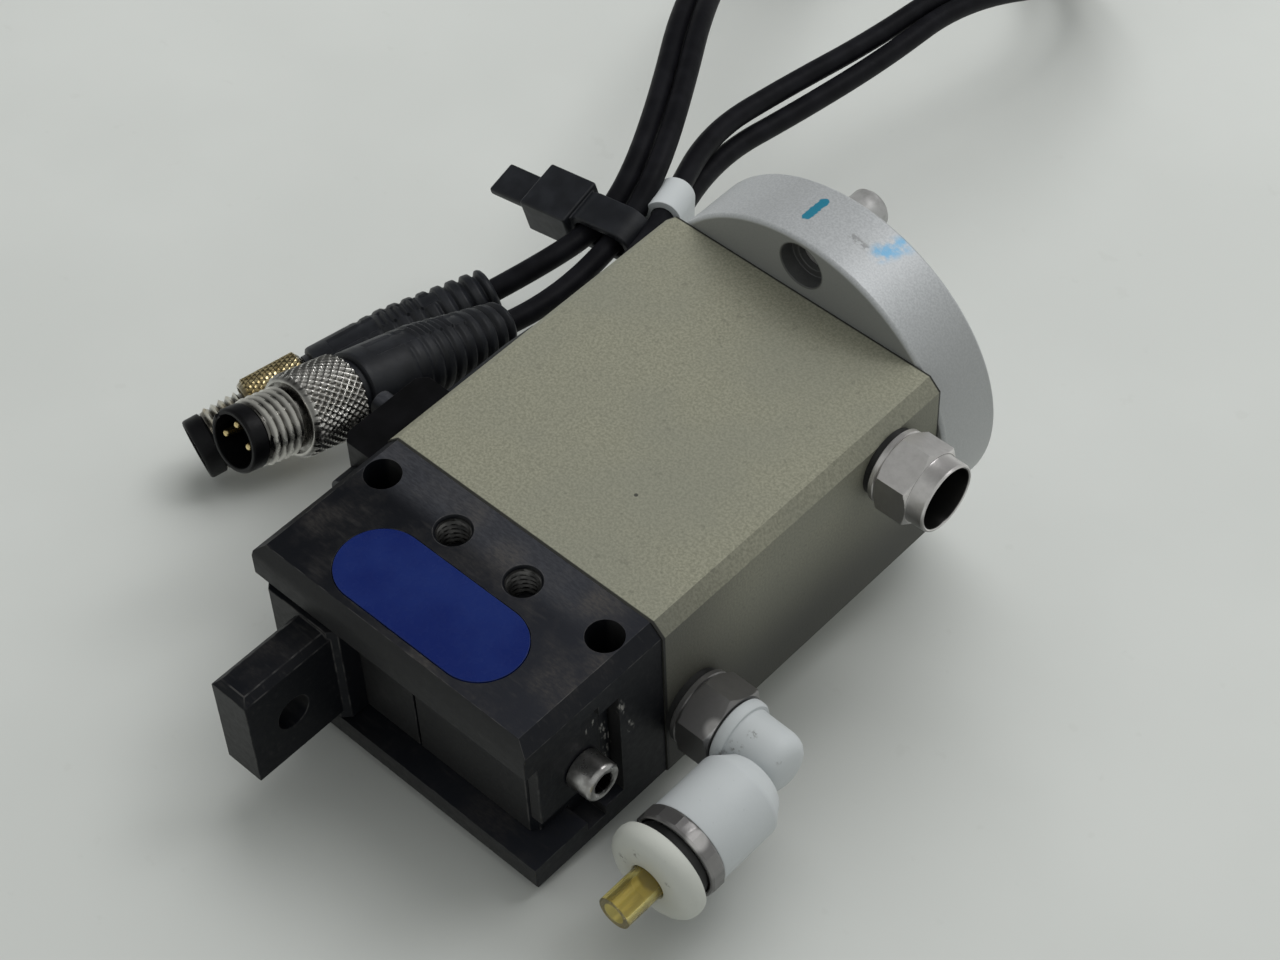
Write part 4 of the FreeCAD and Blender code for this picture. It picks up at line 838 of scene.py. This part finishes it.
# Air fittings along +X, heights are x: a stem, a gasket seat, a hexagon with turned-off corners, an end
STEM_BORE = 1.1
STEM_R = 2.1
STEM_FROM = 16.8
SEAT_FROM = 20.8
SEAT_R = 4.5
HEX_R = 5.0
HEX_FLAT = HEX_R * math.cos(TAU / 12)
HEX_FROM = 21.6
HEX_TO = 25.9
CORNER_SLOPE = 1.7
CORNER_DEEP = 0.48
CORNER_STEP = 0.06
SPIGOT_R = 2.6
SPIGOT_TO = 30.0
CUP_R = 4.2
CUP_TO = 28.2
CUP_BORE = 3.74


def hex_shape(angle, radius, height):
    if radius != HEX_R:
        return radius
    from_end = min(height - HEX_FROM, HEX_TO - height)
    return min(flats(angle, HEX_R, 6), HEX_FLAT + 0.02 + from_end * CORNER_SLOPE)


def fitting(node, y, z, end):
    outline = [(STEM_BORE, STEM_FROM), (STEM_R, STEM_FROM), (STEM_R, SEAT_FROM), (SEAT_R - 0.2, SEAT_FROM)]
    outline += [(SEAT_R, SEAT_FROM + 0.15), (SEAT_R, HEX_FROM - 0.15), (SEAT_R - 0.25, HEX_FROM)]
    outline += [(HEX_R, x) for x in span(HEX_FROM, HEX_FROM + CORNER_DEEP, CORNER_STEP)]
    outline += [(HEX_R, x) for x in span(HEX_TO - CORNER_DEEP, HEX_TO, CORNER_STEP)]
    bm = turned(outline + end, axis_at((0, y, z), (1, 0, 0)), 96, hex_shape)
    piece_from(bm, node + "_finished", node, FITTING_PLATE, 25)


spigot = [(3.8, HEX_TO), (SPIGOT_R, HEX_TO + 0.05), (SPIGOT_R, SPIGOT_TO), (STEM_BORE, SPIGOT_TO)]
cup = [
    (CUP_R + 0.05, HEX_TO), (CUP_R, HEX_TO + 0.15), (CUP_R, CUP_TO - 0.25), (CUP_R - 0.1, CUP_TO - 0.05),
    (CUP_R - 0.25, CUP_TO), (CUP_BORE + 0.06, CUP_TO - 0.08), (CUP_BORE, CUP_TO - 0.25), (CUP_BORE, 24.4),
    (3.4, 24.2), (3.4, 22.0), (STEM_BORE, HEX_FROM)]
fitting("front_fitting", FRONT_PORT_Y, FRONT_PORT_Z, spigot)
fitting("rear_fitting", REAR_PORT_Y, REAR_PORT_Z, cup)


# Elbow: a neck along +X with a rim, heights are x, and a barrel along +Y, heights are y
BARREL_X = 31.6
NECK_AXIS = axis_at((0, FRONT_PORT_Y, FRONT_PORT_Z), (1, 0, 0))
BARREL_AXIS = axis_at((BARREL_X, 0, FRONT_PORT_Z), (0, 1, 0))
NECK_BORE = 2.65
TUBE_HOLE = 2.08
GRIP_BORE = 3.35
BARREL_R = 5.15
BARREL_FRONT = -63.1
neck_outline = [
    (NECK_BORE, 26.0), (3.95, 26.0), (4.2, 26.2), (4.25, 26.5), (4.2, 27.1), (4.0, 27.4), (3.66, 27.45),
    (3.6, 27.7), (3.55, 31.0), (3.52, 31.6), (3.4, 32.2), (3.15, 32.75), (2.75, 33.2), (2.2, 33.52),
    (1.4, 33.68), (0, 33.72), (0, 30.1), (NECK_BORE, 30.1)]
barrel_outline = [
    (GRIP_BORE, BARREL_FRONT), (4.9, BARREL_FRONT), (5.1, -63.0), (BARREL_R, -62.8), (BARREL_R, -55.4),
    (5.08, -55.0), (4.9, -54.75), (3.65, -53.0), (3.3, -52.75), (2.8, -52.65), (0, -52.65), (0, -55.9),
    (TUBE_HOLE, -55.9), (TUBE_HOLE, -57.5), (GRIP_BORE, -57.5)]
elbow = turned(neck_outline, NECK_AXIS)
turned(barrel_outline, BARREL_AXIS, bm=elbow)
piece_from(elbow, "elbow_finished", "elbow")


# Clamp ring, black spacer and release collar of the elbow, heights are y
BAND_R = 5.45
BAND_FACETS = 14
BAND_SIDES = 8 * BAND_FACETS
FACETS_FROM = 4.9
SPACER_R = 4.65
SPACER_REAR = -65.0
SPACER_FRONT = -66.4
SLEEVE_R = 3.2
COLLAR_R = 5.9


def band_shape(angle, radius, height):
    return min(flats(angle, BAND_R, BAND_FACETS), radius) if radius > FACETS_FROM else radius


band_outline = [
    (GRIP_BORE, -63.7), (4.75, -63.7), (4.8, -65.0), (5.0, -65.1), (5.2, -65.02), (BAND_R, -64.75),
    (BAND_R, -63.35), (5.25, -63.14), (5.0, BARREL_FRONT), (GRIP_BORE, BARREL_FRONT)]
spacer_outline = [
    (SLEEVE_R, SPACER_FRONT), (SPACER_R - 0.05, SPACER_FRONT), (SPACER_R, SPACER_FRONT + 0.2),
    (SPACER_R, SPACER_REAR - 0.1), (SPACER_R - 0.1, SPACER_REAR), (SLEEVE_R, SPACER_REAR)]
collar_outline = [
    (TUBE_HOLE, -68.9), (2.2, -69.05), (2.6, -69.1), (4.0, -69.02), (4.8, -68.85), (5.4, -68.5),
    (5.75, -68.05), (COLLAR_R, -67.5), (COLLAR_R, -66.95), (5.8, -66.6), (5.5, SPACER_FRONT),
    (SLEEVE_R, SPACER_FRONT), (SLEEVE_R, -59.1), (TUBE_HOLE, -59.1)]
band = turned(band_outline, BARREL_AXIS, BAND_SIDES, band_shape)
piece_from(band, "clamp_ring_finished", "clamp_ring", FITTING_PLATE, 20)
# The black spacer darkens the gap behind the collar: partly a rubber ring's own black, partly painted shade
spacer = turned(spacer_outline, BARREL_AXIS)
piece_from(spacer, "collar_spacer", "release_collar", FINISHES["seal"], stands_for=False)
piece_from(turned(collar_outline, BARREL_AXIS), "release_collar_finished", "release_collar")


# End screws of the jaws, heights run outwards
SHANK_R = 1.5
SHANK_FROM = 11.2
HEAD_R = 2.35
HEAD_FROM = 18.5
HEAD_TO = 21.8
KEY_FLOOR = 19.5


def key_shape(angle, radius, height):
    return flats(angle, KEY_R, 6) if radius == KEY_R else radius


def end_screw(node, way):
    outline = [(0, SHANK_FROM), (SHANK_R - 0.2, SHANK_FROM), (SHANK_R, SHANK_FROM + 0.2)]
    outline += [(SHANK_R, HEAD_FROM), (HEAD_R - 0.15, HEAD_FROM), (HEAD_R, HEAD_FROM + 0.15)]
    outline += [(HEAD_R, HEAD_TO - 0.6)]
    outline += [(HEAD_R - 0.04, HEAD_TO - 0.35), (HEAD_R - 0.17, HEAD_TO - 0.12), (HEAD_R - 0.37, HEAD_TO)]
    outline += [(KEY_R + 0.28, HEAD_TO), (KEY_R + 0.16, HEAD_TO - 0.04), (KEY_R, HEAD_TO - 0.2)]
    outline += [(KEY_R, KEY_FLOOR), (0, KEY_FLOOR - 0.5)]
    bm = turned(outline, axis_at((0, END_SCREW_Y, 0), (way, 0, 0)), 72, key_shape)
    piece_from(bm, node + "_finished", node, SCREW_STEEL, 30)


end_screw("right_screw", 1)
end_screw("left_screw", -1)


# Rear edge of the right end plate, which fills the slot: two opposite corners
PLATE_EDGE = ((17.0, -62.0, -7.4), (18.35, -60.25, 7.9))
PLATE_EDGE_BREAK = 0.15


def plate_edge():
    low, high = PLATE_EDGE
    bm = bmesh.new()
    bmesh.ops.create_cube(bm, size=1.0)
    for vert in bm.verts:
        vert.co = Vector([(a + b) / 2 + c * (b - a) for a, b, c in zip(low, high, vert.co)]) * MM
    bmesh.ops.bevel(
        bm, geom=list(bm.edges), offset=PLATE_EDGE_BREAK * MM, segments=2, profile=0.5, affect="EDGES")
    piece_from(bm, "right_plate_edge", "right_plate", stands_for=False)


plate_edge()


# Threads in the tapped holes of the base and the disc, heights run into the hole
TAP_R = 1.65
TAP_MAJOR = 2.0
TAP_PITCH = 0.7
TAP_FROM = 0.4
BASE_TAP_DEEP = 4.5
DISC_TAP_DEEP = 7.0
BASE_TAPS = [axis_at((x, -58.25, TOP), (0, 0, -1)) for x in (-5.05, 5.05)]
DISC_TAPS = [axis_at((x, 0, 0), (0, -1, 0)) for x in (-16.5, 16.5)]


def tap_shape(angle, radius, height):
    if radius == TAP_MAJOR:
        return radius + 0.03
    return radius + (TAP_MAJOR - TAP_R) * saw(height / TAP_PITCH - angle / TAU)


def tapped(node, places, deep, finish=None):
    end = deep - 0.1
    outline = [(TAP_R, h) for h in span(TAP_FROM, end, TAP_PITCH / 10)]
    outline += [(TAP_MAJOR, end), (TAP_MAJOR, TAP_FROM)]
    for k, place in enumerate(places):
        bm = turned(outline, place, 48, tap_shape)
        piece_from(bm, "%s_thread_%d" % (node, k + 1), node, finish, 60, stands_for=False)


tapped("guide_base", BASE_TAPS, BASE_TAP_DEEP, CUT_THREAD)
tapped("mounting_disc", DISC_TAPS, DISC_TAP_DEEP)

# Machined and moulded pieces: the width of their broken edges in millimetres
BROKEN = {
    "cylinder_housing": 0.14, "right_jaw": 0.15, "left_jaw": 0.15, "left_finger": 0.22,
    "right_plate": 0.15, "cable_tie": 0.3, "cable_sleeve": 0.25, "disc_screws": 0.15,
    "upper_sensor": 0.12, "lower_sensor": 0.12, "name_plate": 0.05, "tube_stub": 0.1,
}
machined("guide_base", 0.16, widen=[(place, TAP_R, TAP_MAJOR) for place in BASE_TAPS])
machined("mounting_disc", 0.12, widen=[(place, TAP_R, TAP_MAJOR) for place in DISC_TAPS])
for node, width in BROKEN.items():
    machined(node, width)
machined("locating_pin", 0.1, PIN_STEEL)
# The sensor bracket and its screws are near black: partly their own colour, partly painted shade
machined("sensor_bracket", 0.2, INSERT_BLACK)
machined("bracket_screws", 0.12, FINISHES["black_steel"])

# Every solid has its finish too; those that no piece stands for are kept
for name, node in nodes.items():
    node.data.materials.clear()
    node.data.materials.append(FINISHES[slot_of[name]])


# Floor, a tilted round that fades out; the gripper leans on its disc and the front edge of its base
FLOOR_Z = -TOP
FLOOR_Y = -72.5
FLOOR_SLOPE = -0.128
FLOOR_MIDDLE_Y = -20.0
FLOOR_R = 300.0
FADE_FROM = 215.0
FADE_TO = 290.0
FLOOR_DARK = (0.575, 0.59, 0.57)
FLOOR_LIGHT = (0.61, 0.625, 0.605)
FLOOR_SPECK = (0.4, 0.4, 0.37)


def pale_floor():
    f = Finish("pale_floor")
    smudge = f.noise(0.02, 4.0)
    base = f.mix(smudge.step(0.3, 0.7), FLOOR_DARK, FLOOR_LIGHT)
    base = f.mix(f.noise(0.25, 4.0).step(0.68, 0.73) * 0.08, base, FLOOR_SPECK)
    body = f.add("ShaderNodeBsdfPrincipled", {}, {"Base Color": base, "Roughness": 0.12 * smudge + 0.5})
    clear = f.add("ShaderNodeBsdfTransparent", {}, {})
    fade = f.far((0, FLOOR_MIDDLE_Y, FLOOR_Z)).step(FADE_FROM, FADE_TO)
    return f.show(f.add("ShaderNodeMixShader", {}, {0: fade, 1: body, 2: clear}))


def lay_floor():
    bm = bmesh.new()
    bmesh.ops.create_circle(bm, cap_ends=True, segments=96, radius=FLOOR_R * MM)
    for vert in bm.verts:
        vert.co.y += FLOOR_MIDDLE_Y * MM
        vert.co.z = FLOOR_Z * MM + FLOOR_SLOPE * (vert.co.y - FLOOR_Y * MM)
    mesh = bpy.data.meshes.new("floor")
    bm.to_mesh(mesh)
    bm.free()
    floor = bpy.data.objects.new("floor", mesh)
    scene.collection.objects.link(floor)
    mesh.materials.append(pale_floor())


lay_floor()


# Lamps, turned to the middle of the gripper
MIDDLE = (0, -20, 0)


def lamp(name, place_mm, size_mm, watts):
    data = bpy.data.lights.new(name, "AREA")
    data.shape = "DISK"
    data.size = size_mm * MM
    data.energy = watts
    light = bpy.data.objects.new(name, data)
    scene.collection.objects.link(light)
    light.matrix_world = axis_at(place_mm, Vector(place_mm) - Vector(MIDDLE))
    return light


# The broad lamp only gives soft light; the small one also shines on metal
broad = lamp("broad", (-200, 400, 540), 760, 2.85)
broad.visible_glossy = False
lamp("small", (150, 430, 600), 300, 0.72)

# Sky: even for soft light; what surfaces mirror is bright but for a dark side, at the rear left overhead
SKY = (0.6, 0.615, 0.6)
SKY_LEVEL = 0.84
MIRRORED_LEVEL = 0.62
DARK_LEVEL = 0.06
DARK_WAY = (-0.45, 0.455, 0.768)
DARK_FROM = 0.5
DARK_TO = 0.9


def set_sky():
    scene.world = bpy.data.worlds.new("studio")
    sky = Tree(scene.world)
    way = sky.add("ShaderNodeTexCoord", {}, {}, "Generated")
    toward = sky.add("ShaderNodeVectorMath", {"operation": "DOT_PRODUCT"}, {0: way, 1: DARK_WAY}, "Value")
    mirrored = sky.add("ShaderNodeMapRange", {}, {
        "Value": toward, "From Min": DARK_FROM, "From Max": DARK_TO,
        "To Min": MIRRORED_LEVEL, "To Max": DARK_LEVEL})
    glossy = sky.add("ShaderNodeLightPath", {}, {}, "Is Glossy Ray")
    level = sky.add("ShaderNodeMapRange", {}, {"Value": glossy, "To Min": SKY_LEVEL, "To Max": mirrored})
    light = sky.add("ShaderNodeBackground", {}, {"Color": paint(SKY), "Strength": level})
    sky.add("ShaderNodeOutputWorld", {}, {"Surface": light})


set_sky()
